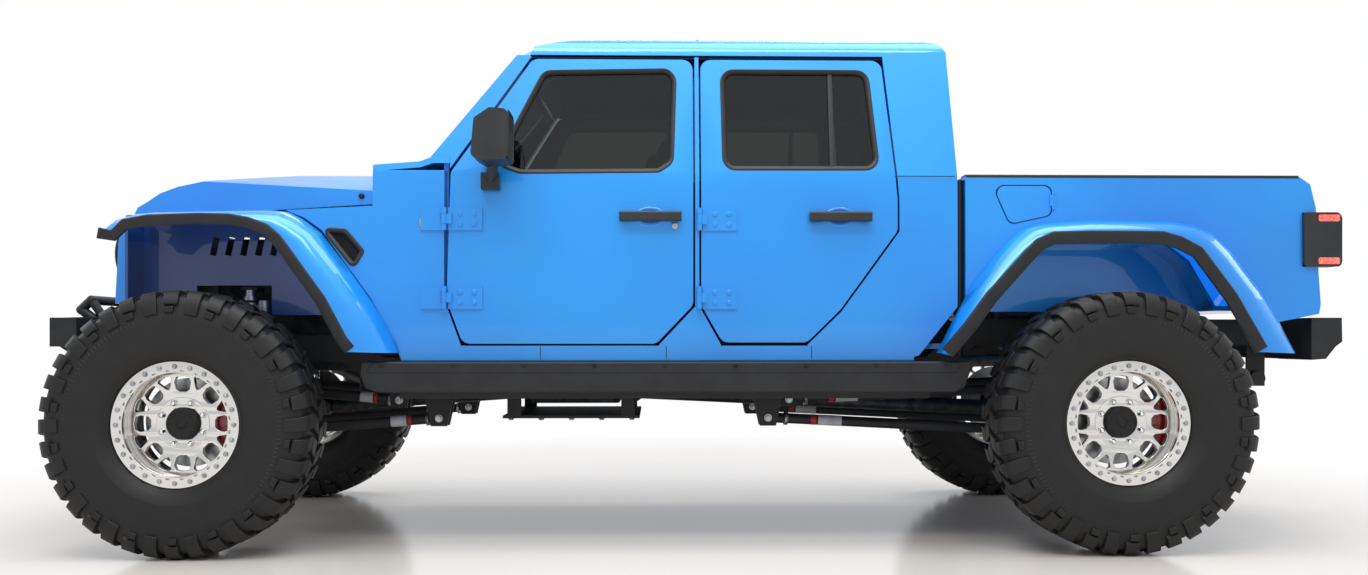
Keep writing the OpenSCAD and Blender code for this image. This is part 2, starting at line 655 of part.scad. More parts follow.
// ---- Bed ----
gate_x1 = bed_x1 - 4;
gate_x0 = gate_x1 - gate_t;
gate_z = [975, 1472];
gate_half = side_half - bed_wall - 14;
gate_hinge = [gate_x1 - 28, 990];
gate_swing_r = 36;
lamp_x = [792, 946];
lamp_zs = [1122, 1340];
lamp_in = side_half - bed_wall + 6;
// The wheel opening in the bed's side, just inside the flare's crown line
arch = [for (k = rear_flare) mix(k[0], k[1], 0.25)];
bed_outline = [[bed_x0, 930], [bed_x0, bed_rail_z], [782, bed_rail_z], [826, 1454], [848, 1359],
    [858, 1100], [868, 972], [862, 932], [700, 900], [660, 760], [-640, 760]];
fuel_flap = [[-461, 1443], [-394, 1292], [-228, 1328], [-228, 1444]];
flap_gap = 5;
flap_t = 6;
liner_t = 10;
rack_hole_x = 600;
rack_hole_r = 5.5;
rack_hole_deep = 60;
liner_y = side_half - 232;
liner = [[-560, bed_floor_z], [-470, 1110], [-360, 1225], [260, 1225], [360, 1150], [470, bed_floor_z]];
// The floor's edge is let into the side walls
let_in = side_half - bed_wall + 2;
module bed_box() color(blue) at_rear() {
    difference() {
        union() {
            pair() {
                side_panel(0, bed_wall) difference() {
                    polygon(bed_outline);
                    polygon(concat(arch, [[600, 700], [-700, 700]]));
                }
                wheelhouse();
            }
            // Floor and front wall
            block([bed_x0, -let_in, bed_floor_z - 20],
                [gate_hinge.x - gate_swing_r - 4, let_in, bed_floor_z]);
            block([bed_x0, -let_in, bed_floor_z - 20], [bed_x0 + 38, let_in, bed_rail_z]);
        }
        // Rear corners, cut back for the lamps
        pair() block([lamp_x[0] - seat_gap, lamp_in - seat_gap, lamp_zs[0] - seat_gap],
            [lamp_x[1], side_half + 20, lamp_zs[1] + seat_gap]);
        // The fuel flap's recess
        intersection() {
            across(side_half - 30, side_half + 20) polygon(rounded(flap_hole, 32));
            along(-700, 0) square([4 * side_half, 4000], center = true);
        }
        translate(lp(flap_hinge_x, flap_hinge_y, flap_zs[0] + 12)) cylinder(h = flap_pin - 12, r = 7.5);
        // Blind holes for a rack's bolts in the rails' tops
        pair() translate(lp(rack_hole_x, side_half - 40, bed_rail_z - rack_hole_deep))
            cylinder(h = rack_hole_deep + 1, r = rack_hole_r);
        // The wall's edge cut back from the floor, so that a flat load can lie there
        pair() block([578, let_in - 5, bed_floor_z - 25], [589, let_in + 3, bed_floor_z + 5]);
        // Room under the flare at the wheelhouses
        pair() across(liner_y + liner_t, side_half - bed_wall + 5) polygon(inset_liner);
    }
    // The flap's hinge: posts at the recess's back edge and a pin between them
    for (z = flap_zs) {
        translate(lp(flap_hinge_x, flap_hinge_y, z)) cylinder(h = 12, r = 4.5);
        block([flap_hinge_x, side_half - 12, z], [flap_hinge_x + 9, flap_hinge_y + 3, z + 12]);
    }
    translate(lp(flap_hinge_x, flap_hinge_y, flap_zs[0])) cylinder(h = flap_pin, r = 2.5);
}
flap_hole = inset(fuel_flap, -flap_gap);
inset_liner = [[-548, bed_floor_z - 30], [-548, bed_floor_z], [-462, 1103], [-355, 1214], [255, 1214],
    [352, 1142], [458, bed_floor_z], [458, bed_floor_z - 30]];
module wheelhouse() difference() {
    across(liner_y, side_half - bed_wall + 2) polygon(liner);
    across(liner_y + liner_t, side_half + 5) polygon(inset_liner);
}
flap_hinge_x = -222;
flap_hinge_y = side_half + 2;
flap_zs = [1350, 1410];
flap_pin = flap_zs[1] - flap_zs[0];
module fuel_door() color(blue) at_rear() difference() {
    union() {
        side_panel(0, flap_t) polygon(rounded(fuel_flap, 30));
        translate(lp(flap_hinge_x, flap_hinge_y, flap_zs[0] + 13)) cylinder(h = flap_pin - 14, r = 4.5);
        block([flap_hinge_x - 12, side_half - 5, flap_zs[0] + 13],
            [flap_hinge_x, flap_hinge_y + 3, flap_zs[1] - 1]);
    }
    translate(lp(flap_hinge_x, flap_hinge_y, flap_zs[0])) cylinder(h = 100, r = 2.5 + pin_gap);
}
module tailgate() color(blue) at_rear() {
    difference() {
        across(-gate_half, gate_half) polygon([[gate_x0, gate_z[0]], [gate_x1 - 10, gate_z[0]],
            [gate_x1, gate_z[0] + 40], [gate_x1, gate_z[1] - 60], [gate_x1 - 8, gate_z[1] - 40],
            [gate_x1 - 8, gate_z[1]], [gate_x0, gate_z[1]]]);
        block([gate_x1 - 12, -150, gate_z[1] - 150], [gate_x1 + 5, 150, gate_z[1] - 75]);
    }
    // Hinge pins that reach the bed's walls, and the handle's bar
    pin_end = side_y(gate_hinge.y) - bed_wall - seat_gap;
    across(-pin_end, pin_end) translate(gate_hinge) circle(9);
    block([gate_x1 - 8, -155, gate_z[1] - 108], [gate_x1 + 2, 155, gate_z[1] - 84]);
}
module taillights() color(black) at_rear() pair() {
    across(lamp_in, side_half + 16) polygon(rounded([[lamp_x[0], lamp_zs[0]], [lamp_x[1] - 8, lamp_zs[0]],
        [lamp_x[1], lamp_zs[0] + 20], [lamp_x[1], lamp_zs[1] - 20], [lamp_x[1] - 14, lamp_zs[1]],
        [lamp_x[0], lamp_zs[1]]], 16));
}

// ---- Bumpers and sliders ----
bumper_half = 620;
module front_bumper() color(black) at_front() {
    difference() {
        union() {
            across(-bumper_half + 200, bumper_half - 200) polygon([[-719, 905], [-712, 921], [-560, 925],
                [-540, 850], [-590, 775], [-680, 775], [-720, 800]]);
            pair() hull() {
                block([-712, bumper_half - 205, 798], [-552, bumper_half - 200, 920]);
                block([-660, bumper_half - 6, 800], [-552, bumper_half, 918]);
            }
            // Winch tray and rail ends
            pair() block([-560, rail_in, front_rail_z - 40], [-535, rail_out, 880]);
        }
        block([-740, -170, 835], [-610, 170, 890]);
        pair() boss_x(-740, -600, 330, 850, 36);
    }
    bent([lp(-600, 350, 915), lp(-657, 350, 956), lp(-614, 350, 997), lp(-614, -350, 997),
        lp(-657, -350, 956), lp(-600, -350, 915)], 20);
    pair() bar(lp(-614, 350, 997), lp(-560, 350, 920), 18);
    pair() boss_x(-640, -560, 270, 812, 14);
}
module rear_bumper() color(black) at_rear() {
    across(-520, 520) polygon([[878, 917], [rear_overhang - 14, 917], [rear_overhang, 900],
        [rear_overhang, 800], [rear_overhang - 40, 746], [878, 746]]);
    pair() across(515, side_half - 20) polygon([[840, 917], [965, 917], [967, 820], [940, 800], [900, 750],
        [840, 746]]);
    pair() block([840, rail_in, 806], [890, rail_out, 914]);
}
slider_y = [side_half - 90, side_half + 80];
slider_x = [656, dx - 575];
module rock_sliders() color(black) at_front() pair() {
    across(slider_y[0], slider_y[1]) polygon([[slider_x[0], 700], [slider_x[0] + 6, sill_z - 3],
        [slider_x[1] + 4, sill_z - 3], [slider_x[1], 700], [slider_x[1] - 20, 640], [slider_x[1] - 60, 622],
        [slider_x[0] + 70, 622], [slider_x[0] + 20, 640]]);
    for (x = [900, 1750, 2600]) block([x, rail_out + seat_gap, mid_rail_z - 30],
        [x + 90, slider_y[0] + 5, mid_rail_z + 30]);
    block([slider_x[0] + 120, slider_y[0] - 10, 590], [slider_x[1] - 120, slider_y[0] + 10, 640]);
}

// ---- Axles and suspension ----
diff_r = 115;
front_diff_y = -200;
kingpin_h = 150;
ear_t = 25;
pin_r = 14;
perch_z = axle_z + 62;
axle_lower_y = rail_out - 5;
axle_upper_y = rail_in - 25;
lower_end = [58, 430];
upper_end = [20, 625];
// A pair of plates on the axle tube that hold an arm's end
module axle_plates(p, y, sx) for (side = [-1, 1]) {
    edge = y + side * (arm_half + seat_gap);
    lo = min(edge, edge + side * plate_t);
    end_z = p.y - sign(axle_z - p.y) * 32;
    across(lo, lo + plate_t) polygon([[-30 * sx, axle_z], [sx * (p.x - 32), end_z],
        [sx * (p.x + 32), end_z], [35 * sx, axle_z]]);
}
module diff_case(y, sx) translate(lp(0, y, axle_z)) {
    sphere(diff_r);
    rotate([0, sx * 90, 0]) cylinder(h = 190, r1 = 90, r2 = 48);
}
module axle_common(sx) {
    pair() {
        axle_plates(lower_end, axle_lower_y, sx);
        axle_plates(upper_end, axle_upper_y, sx);
        translate(lp(0, coil_y, axle_z)) cylinder(h = perch_z - axle_z, r = 62);
        translate(lp(0, coil_y, perch_z)) cylinder(h = 30, r = 34);
        block([0, shock_y - 26, axle_z - 60], [shock_foot_x + 25, shock_y - 16, axle_z + 20]);
    }
}
shock_foot_x = 105;
module front_axle() color(black) at_front() difference() {
    union() {
        across(-kingpin_y + 95, kingpin_y - 95) translate([0, axle_z]) circle(tube_r);
        diff_case(front_diff_y, 1);
        axle_common(1);
        pair() {
            block([-36, kingpin_y - 105, axle_z - kingpin_h], [36, kingpin_y - 80, axle_z + kingpin_h]);
            for (z = [axle_z - kingpin_h, axle_z + kingpin_h - ear_t])
                block([-34, kingpin_y - 90, z], [34, kingpin_y + 28, z + ear_t]);
        }
    }
    pair() translate(lp(0, kingpin_y, axle_z - kingpin_h - 1))
        cylinder(h = 2 * kingpin_h + 2, r = pin_r + pin_gap);
}
module rear_axle() color(black) at_rear() {
    across(-wheel_y + 100, wheel_y - 100) translate([0, axle_z]) circle(tube_r);
    diff_case(0, -1);
    axle_common(-1);
    pair() {
        stub();
        block([30, wheel_y - 112, axle_z - 50], [120, wheel_y - 96, axle_z + 50]);
        caliper();
    }
}
// The stub that a wheel turns on, and its flange
module stub() {
    boss(0, axle_z, wheel_y - 112, wheel_y - 84, 62);
    boss(0, axle_z, wheel_y - 90, wheel_y + hub_bore - 2, stub_r);
}
disc_r = 172;
disc_t = 28;
disc_y = wheel_y - 50;
caliper_x = [112, 190];
module caliper() difference() {
    across(disc_y - 50, disc_y + 48) intersection() {
        translate([0, axle_z]) circle(200);
        translate([caliper_x[0], axle_z - 78]) square([caliper_x[1] - caliper_x[0] + 20, 156]);
    }
    boss(0, axle_z, disc_y - disc_t / 2 - 6, disc_y + disc_t / 2 + 6, disc_r + 7);
}
// A link bar with a boss at each end, whose axes run across the vehicle
module arm(a, ya, b, yb) {
    boss(a.x, a.y, ya - arm_half, ya + arm_half, arm_boss);
    boss(b.x, b.y, yb - arm_half, yb + arm_half, arm_boss);
    bar(lp(a.x, ya, a.y), lp(b.x, yb, b.y), arm_r);
}
module control_arms() color(black) {
    at_front() pair() {
        arm(lower_f, lower_arm_y, lower_end, axle_lower_y);
        arm(upper_f, upper_arm_y, upper_end, axle_upper_y);
        arm(lower_r, lower_arm_y, [dx - lower_end.x, lower_end.y], axle_lower_y);
        arm(upper_r, upper_arm_y, [dx - upper_end.x, upper_end.y], axle_upper_y);
    }
}
coil_wire = 8;
coil_r = 56;
coil_turns = 9;
// Plain coils: rings in the coil's outer shape, joined by a thin sleeve
module coil(z0, z1) rotate_extrude() {
    pitch = (z1 - z0 - 2 * coil_wire) / coil_turns;
    for (i = [0:coil_turns]) translate([coil_r, z0 + coil_wire + i * pitch]) circle(coil_wire, $fn = 16);
    translate([coil_r - 2, z0 + coil_wire]) square([4, z1 - z0 - 2 * coil_wire]);
}
module coil_springs() color("#2A6FD0") at_front() pair() {
    translate(lp(0, coil_y, 0)) coil(perch_z, coil_tops[0] + 45);
    translate(lp(dx, coil_y, 0)) coil(perch_z, coil_tops[1] + 45);
}
shock_r = 30;
reservoir_h = 190;
module shock(x, top) {
    foot = lp(x + shock_foot_x, shock_y + 14, axle_z - 30);
    head = lp(x + shock_dx, shock_y + 14, top - 12);
    can_top = lp(x + shock_dx + 58, shock_y + 18, top - 30);
    boss(foot.x, foot.z, shock_y - 15.7, shock_y + 30, 24);
    bar(foot, mix(foot, head, 0.55), 15);
    bar(mix(foot, head, 0.5), head, shock_r);
    translate(head) cylinder(h = 26.5, r = 22);
    // The reservoir beside the body, and its bridge
    bar(can_top - [0, 0, reservoir_h], can_top, 27);
    bar(lp(x + shock_dx, shock_y + 14, top - 60), can_top - [0, 0, 30], 14);
}
module shock_absorbers() color(bright) at_front() pair() {
    shock(0, shock_tops[0]);
    shock(dx, shock_tops[1]);
}

// ---- Drive ----
module powertrain() color(steel) at_front() {
    block([-120, -230, 690], [480, 230, 1270]);
    block([480, -150, 590], [1250, 150, 775]);
    block([1250, -130, 540], [1650, 130, 760]);
    block([1350, -235, 540], [1560, -120, 690]);
    // Mounts to the rails and the middle crossmember
    pair() block([80, 225, 800], [160, rail_in, 860]);
    block([1640, -60, 650], [1815.7, 60, 690]);
}
shaft_r = 30;
module driveshafts() color(black) at_front() {
    bar(lp(190, front_diff_y, axle_z), lp(1347.6, front_diff_y, 590), shaft_r);
    bar(lp(1704, 0, 590), lp(dx - 192, 0, axle_z), shaft_r + 4);
    boss_x(1650.3, 1700, 0, 590, 40);
    translate(lp(1704, 0, 590)) sphere(52);
    translate(lp(240, front_diff_y, axle_z + 4)) sphere(46);
}
// The tank and the exhaust keep their places beside the rails
tank_out = rail_in - 85;
module fuel_tank() color("#242528") at_front() {
    across(60, tank_out) polygon(rounded([[1960, 600], [2620, 600], [2620, 740], [1960, 740]], 35));
    for (x = [2080, 2460]) block([x, tank_out - 1, 640], [x + 40, rail_in, 680]);
}
pipe_r = 28;
pipe_side = 112 - rail_in;
pipe_path = [[250, pipe_side + 6, 700], [430, pipe_side + 3, 625], [1300, pipe_side, 625],
    [1620, pipe_side, 625], [1900, -215, 630], [dx - 900, -215, 640], [dx - 350, pipe_side - 12, 720],
    [dx + 500, pipe_side - 12, 735], [dx + 825, pipe_side - 32, 735]];
module exhaust() color(steel) at_front() {
    loft([for (p = pipe_path) [for (a = [0:18:342]) lp(p.x, p.y - pipe_r * cos(a), p.z + pipe_r * sin(a))]]);
    boss_x(dx - 1480, dx - 1020, -215, 640, 76);
    for (p = [[1000, pipe_side - 17], [1860, -235]]) block([p.x, -rail_in, 596], [p.x + 30, p.y, 660]);
}

// ---- Cabin ----
seat_y = 370;
seat_w = 500;
module seat(x, y) translate([x, y, 0]) {
    across(-seat_w / 2, seat_w / 2)
        polygon(rounded([[0, 960], [500, 930], [520, 1090], [40, 1120], [0, 1080]], 40));
    across(-seat_w / 2, seat_w / 2) polygon(rounded([[380, 1070], [520, 1060], [640, 1700], [560, 1740],
        [500, 1660]], 40));
    across(-130, 130) polygon(rounded([[570, 1752], [650, 1752], [665, 1900], [600, 1915]], 30));
    across(-40, 40) polygon([[575, 1700], [620, 1700], [635, 1780], [590, 1780]]);
    for (s = [-1, 1]) translate([60, s * 170 - 20, floor_z + floor_t]) cube([380, 40, 150]);
}
bench_w = 1180;
module seats() color("#232427") at_front() {
    for (s = [-1, 1]) seat(1290, s * seat_y);
    translate([2230, 0, 0]) {
        across(-bench_w / 2, bench_w / 2)
            polygon(rounded([[0, 930], [480, 900], [500, 1080], [0, 1110]], 40));
        across(-bench_w / 2, bench_w / 2)
            polygon(rounded([[410, 1060], [530, 1050], [640, 1680], [520, 1690]], 40));
        across(-bench_w / 2 + 40, bench_w / 2 - 40)
            polygon([[40, floor_z + floor_t], [420, floor_z + floor_t], [420, 940], [40, 950]]);
    }
}
column_at = [1120, 1400];
column_tilt = 24;
module column_frame() translate([column_at.x, -seat_y, column_at.y])
    rotate([0, 90 - column_tilt, 0]) children();
// The dashboard ends inside the doors' inner trim
dash_half = side_half - door_depth - 70;
module dashboard() color("#202124") at_front() difference() {
    union() {
        across(-dash_half, dash_half) polygon(rounded([[firewall_x + 20, 1250], [1090, 1270],
            [1180, 1380], [1150, 1470], [firewall_x + 20, 1500]], 30));
        across(-110, 110) polygon([[firewall_x + 20, floor_z + floor_t], [1900, floor_z + floor_t],
            [1900, 1060], [1300, 1040], [1080, 1260], [firewall_x + 20, 1300]]);
        column_frame() translate([0, 0, -120]) cylinder(h = 240, r = 34);
    }
    column_frame() translate([0, 0, 85]) cylinder(h = 60, r = 14 + pin_gap);
}
module steering_wheel() color("#202124") at_front() column_frame() {
    translate([0, 0, 160]) rotate_extrude() translate([185, 0]) circle(15);
    translate([0, 0, 126]) cylinder(h = 44, r = 60);
    translate([0, 0, 90]) cylinder(h = 40, r = 14);
    for (a = [0, 120, 240]) rotate([0, 0, a]) translate([40, -22, 150]) cube([135, 44, 14]);
}

// ---- Steering ----
// The steering arm's end, from the kingpin: straight forward, so that all links stay parallel
arm_end = [-180, 0];
tie_z = 455;
link_z = 525;
rod_r = 15;
arm_z = [480, 500];
link_arm_z = [548, 566];
ball_r = 9;
ball_pin = 9;
module steer_arm(z) difference() {
    hull() {
        translate(lp(-20, kingpin_y - 8, z[0])) cylinder(h = z[1] - z[0], r = 20, $fn = hull_fn);
        translate(lp(arm_end.x, kingpin_y - arm_end.y, z[0]))
            cylinder(h = z[1] - z[0], r = 20, $fn = hull_fn);
    }
    translate(lp(arm_end.x, kingpin_y - arm_end.y, z[0] - 1)) cylinder(h = 40, r = ball_pin + pin_gap);
}
module knuckle(s, top_arm) color(steel) on_side(s) at_front() {
    block([-32, kingpin_y - 32, axle_z - kingpin_h + ear_t + 1],
        [32, kingpin_y + 30, axle_z + kingpin_h - ear_t - 1]);
    translate(lp(0, kingpin_y, axle_z - kingpin_h + 2)) cylinder(h = 2 * kingpin_h - 4, r = pin_r);
    steer_arm(arm_z);
    if (top_arm) steer_arm(link_arm_z);
    stub();
    block([-45, kingpin_y + 20, axle_z - 60], [45, wheel_y - 100, axle_z + 60]);
    block([20, wheel_y - 112, axle_z - 45], [120, wheel_y - 100, axle_z + 45]);
    caliper();
}
module rod_end(x, y, z, z_pin) {
    translate(lp(x, y, z - 16)) cylinder(h = 32, r = 20);
    translate(lp(x, y, z)) cylinder(h = z_pin - z, r = ball_pin);
}
module tie_rod() color(black) at_front() {
    y = kingpin_y - arm_end.y;
    across(-y, y) translate([arm_end.x, tie_z]) circle(rod_r);
    for (s = [-1, 1]) rod_end(arm_end.x, s * y, tie_z, arm_z[1]);
}
module drag_link() color(black) at_front() {
    a = [pitman_at.x + arm_end.x, pitman_at.y + arm_end.y];
    b = [arm_end.x, arm_end.y - kingpin_y];
    bar(lp(a.x, a.y, link_z), lp(b.x, b.y, link_z), rod_r);
    rod_end(a.x, a.y, link_z, link_arm_z[1]);
    rod_end(b.x, b.y, link_z, link_arm_z[1]);
}
module pitman_arm() color(steel) at_front() difference() {
    hull() for (p = [pitman_at, [pitman_at.x + arm_end.x, pitman_at.y + arm_end.y]])
        translate(lp(p.x, p.y, link_arm_z[0]))
            cylinder(h = link_arm_z[1] - link_arm_z[0], r = 24, $fn = hull_fn);
    translate(lp(pitman_at.x, pitman_at.y, 500)) cylinder(h = 100, r = sector_r + pin_gap);
    translate(lp(pitman_at.x + arm_end.x, pitman_at.y + arm_end.y, 500))
        cylinder(h = 100, r = ball_pin + pin_gap);
}

// ---- Wheels ----
seat_r = seat_d / 2;
tyre_r = tyre_d / 2;
rim_y = [-120, 104];
ring_t = 16;
ring_r = 240;
hub_bore = 18;
face_y = [12, 36];
// A tyre's section: distance from the axle against distance out from its middle
module tyre_section() {
    half = tyre_w / 2;
    side = mix(seat_r, tyre_r, 0.45);
    polygon([[seat_r, rim_y[0] + 11.5], [ring_r + 1, rim_y[0] + 11.5], [ring_r + 7, -half + 34],
        [side - 45, -half + 8], [side, -half],
        [side + 55, -half + 4], [tyre_r - 62, -half + 14], [tyre_r - 18, -half + 24], [tyre_r, -half + 46],
        [tyre_r, half - 46], [tyre_r - 18, half - 24], [tyre_r - 62, half - 14], [side + 55, half - 4],
        [side, half], [side - 45, half - 8], [ring_r + 7, half - 42], [ring_r + 1, rim_y[1] - 1],
        [seat_r, rim_y[1] - 1]]);
}
module at_wheel(s, x) on_side(s) translate([x, -wheel_y, axle_z]) rotate([90, 0, 0]) children();
module tyre(s, x) color("#1C1C1D") at_wheel(s, x) rotate_extrude($fn = 96) tyre_section();
module wheel(s, x) color(bright) at_wheel(s, x) {
    difference() {
        union() {
            rotate_extrude($fn = 96) {
                translate([seat_r - 12, rim_y[0]]) square([12, rim_y[1] - rim_y[0] - 1]);
                translate([seat_r - 12, rim_y[0]]) square([ring_r - seat_r + 12, 11]);
                translate([ring_r - 42, rim_y[1]]) square([42, ring_t]);
                translate([seat_r - 30, rim_y[1] - 10]) square([30, 11]);
            }
            translate([0, 0, face_y[0]]) cylinder(h = face_y[1] - face_y[0], r = seat_r - 6);
            cylinder(h = face_y[1] + 6, r = 78);
            translate([0, 0, -disc_drop]) cylinder(h = disc_drop + 5, r = 78);
            translate([0, 0, -50 - disc_t / 2]) cylinder(h = disc_t, r = disc_r);
            translate([0, 0, face_y[1]]) cylinder(h = 22, r = 62);
        }
        for (i = [0:7]) rotate([0, 0, i * 45]) upward(0, 60) {
            polygon(rounded(wide_window, 12, 3));
            rotate(22.5) polygon(rounded(narrow_window, 8, 3));
        }
        translate([0, 0, -200]) cylinder(h = 200 + hub_bore, r = stub_r + pin_gap);
    }
}
disc_drop = 62;
// Windows in the wheel's face: six-sided ones, and three-sided ones between them
wide_window = [[114, 0], [124, 26], [158, 36], [190, 26], [190, -26], [158, -36], [124, -26]];
narrow_window = [[138, 0], [182, 27], [188, 0], [182, -27]];

module raised() translate([0, 0, rise]) children();
raised() frame();
raised() cab_tub();
raised() hardtop();
raised() windshield_frame();
raised() fixed_glass();
raised() grille();
raised() headlights();
raised() front_fenders();
raised() inner_fenders();
raised() bed_box();
raised() rear_fenders();
raised() taillights();
raised() front_bumper();
raised() rear_bumper();
raised() rock_sliders();
raised() front_axle();
raised() rear_axle();
raised() control_arms();
raised() coil_springs();
raised() shock_absorbers();
raised() powertrain();
raised() driveshafts();
raised() fuel_tank();
raised() exhaust();
raised() seats();
raised() dashboard();
raised() steering_wheel();
raised() hood();
raised() tailgate();
raised() fuel_door();
raised() door_front(-1);  // door_front_left
raised() door_front(1);  // door_front_right
raised() door_rear(-1);  // door_rear_left
raised() door_rear(1);  // door_rear_right
raised() door_glass(-1, front_window);  // glass_front_left
raised() door_glass(1, front_window);  // glass_front_right
raised() door_glass(-1, rear_window);  // glass_rear_left
raised() door_glass(1, rear_window);  // glass_rear_right
raised() side_mirror(-1);  // mirror_left
raised() side_mirror(1);  // mirror_right
raised() knuckle(-1, false);  // knuckle_left
raised() knuckle(1, true);  // knuckle_right
raised() tie_rod();
raised() drag_link();
raised() pitman_arm();
raised() tyre(-1, ax_f);  // tyre_front_left
raised() tyre(1, ax_f);  // tyre_front_right
raised() tyre(-1, ax_r);  // tyre_rear_left
raised() tyre(1, ax_r);  // tyre_rear_right
raised() wheel(-1, ax_f);  // wheel_front_left
raised() wheel(1, ax_f);  // wheel_front_right
raised() wheel(-1, ax_r);  // wheel_rear_left
raised() wheel(1, ax_r);  // wheel_rear_right
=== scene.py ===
# Lifted crew-cab pickup: the finish of every surface and the small parts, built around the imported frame.
# X runs to the tail, Y to the vehicle's right and Z up. Sizes in the dictionaries are millimetres.
import json
import math
import random
import re

import bmesh
import bpy
import numpy as np
from mathutils import Matrix, Vector


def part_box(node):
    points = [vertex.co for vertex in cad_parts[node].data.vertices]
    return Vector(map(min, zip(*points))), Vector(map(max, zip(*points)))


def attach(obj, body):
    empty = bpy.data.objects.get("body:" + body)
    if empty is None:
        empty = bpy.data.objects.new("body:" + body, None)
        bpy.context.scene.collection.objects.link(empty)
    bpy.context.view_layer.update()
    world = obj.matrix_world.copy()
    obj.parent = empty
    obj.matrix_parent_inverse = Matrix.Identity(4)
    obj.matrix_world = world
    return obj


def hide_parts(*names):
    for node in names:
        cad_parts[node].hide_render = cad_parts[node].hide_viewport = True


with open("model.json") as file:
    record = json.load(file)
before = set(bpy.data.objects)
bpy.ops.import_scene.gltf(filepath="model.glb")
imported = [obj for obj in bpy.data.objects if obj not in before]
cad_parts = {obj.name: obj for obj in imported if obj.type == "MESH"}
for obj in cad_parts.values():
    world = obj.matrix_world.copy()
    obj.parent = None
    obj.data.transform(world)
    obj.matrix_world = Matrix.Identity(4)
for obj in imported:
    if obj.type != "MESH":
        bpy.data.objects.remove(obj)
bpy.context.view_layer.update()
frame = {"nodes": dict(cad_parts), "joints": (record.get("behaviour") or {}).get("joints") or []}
nodes = frame["nodes"]
pivots = {j["name"]: Vector(j["pos_m"]) for j in frame["joints"]}
random.seed(7)
mm = 0.001
frontX = pivots["wheel_front_left_spin"].x
rearX = pivots["wheel_rear_left_spin"].x
wheelY = pivots["wheel_front_right_spin"].y
axleZ = pivots["wheel_front_left_spin"].z
sides = {"left": -1, "right": 1}
print("frame loaded,", len(nodes), "nodes")


# camera, light and floor
cameraSet = dict(place=(-0.150, -5.65, 0.837), yaw=-1.42, lens=32.1, shiftY=0.0365)
camera = bpy.data.objects.new("camera", bpy.data.cameras.new("camera"))
bpy.context.scene.collection.objects.link(camera)
camera.location = cameraSet["place"]
camera.rotation_euler = (math.radians(90), 0, math.radians(cameraSet["yaw"]))
camera.data.lens = cameraSet["lens"]
camera.data.shift_y = cameraSet["shiftY"]
bpy.context.scene.camera = camera
bpy.context.scene.view_settings.view_transform = "Standard"


def toLinear(hexText):
    values = [int(hexText[i:i + 2], 16) / 255 for i in (1, 3, 5)]
    return [v / 12.92 if v <= 0.04045 else ((v + 0.055) / 1.055) ** 2.4 for v in values] + [1.0]


def addNode(tree, kind, inputs=None, **settings):  # a socket among the inputs is linked, the rest are values
    node = tree.nodes.new("ShaderNode" + kind)
    for name, value in settings.items():
        setattr(node, name, value)
    for name, value in (inputs or {}).items():
        if isinstance(value, bpy.types.NodeSocket):
            tree.links.new(value, node.inputs[name])
        else:
            node.inputs[name].default_value = value
    return node


def makeWorld(light="#F4F6FA", strength=0.82):
    world = bpy.data.worlds.new("studio")
    bpy.context.scene.world = world
    world.use_nodes = True
    tree = world.node_tree
    tree.nodes.clear()
    path = addNode(tree, "LightPath")
    seen = addNode(tree, "Math", {0: path.outputs["Is Camera Ray"], 1: path.outputs["Is Transmission Ray"]},
                   operation="MAXIMUM")
    lit = addNode(tree, "Background", {"Color": toLinear(light), "Strength": strength})
    shown = addNode(tree, "Background", {"Color": (1, 1, 1, 1), "Strength": 1.0})
    mixed = addNode(tree, "MixShader", {0: seen.outputs[0], 1: lit.outputs[0], 2: shown.outputs[0]})
    addNode(tree, "OutputWorld", {"Surface": mixed.outputs[0]})


lamps = [  # name, place in metres, where it aims, size in metres, watts
    ("overhead", (0.2, -1.2, 5.2), (0, 0, 1.0), (6.5, 2.6), 190),
    ("leftBank", (-0.6, -4.7, 6.4), (0, 0, 1.0), (6.0, 1.4), 215),
    ("rightBank", (0.6, 4.7, 6.4), (0, 0, 1.0), (6.0, 1.4), 215),
    ("noseBank", (-6.6, 0.4, 3.4), (0, 0, 1.0), (3.6, 1.6), 70),
    ("tailBank", (6.6, -0.4, 3.4), (0, 0, 1.0), (3.6, 1.6), 70),
]


def makeLamps():
    for name, place, aim, size, watts in lamps:
        data = bpy.data.lights.new(name, "AREA")
        data.shape = "RECTANGLE"
        data.size, data.size_y = size
        data.energy = watts
        lamp = bpy.data.objects.new(name, data)
        bpy.context.scene.collection.objects.link(lamp)
        lamp.location = place
        lamp.rotation_euler = (Vector(aim) - Vector(place)).to_track_quat("-Z", "Y").to_euler()


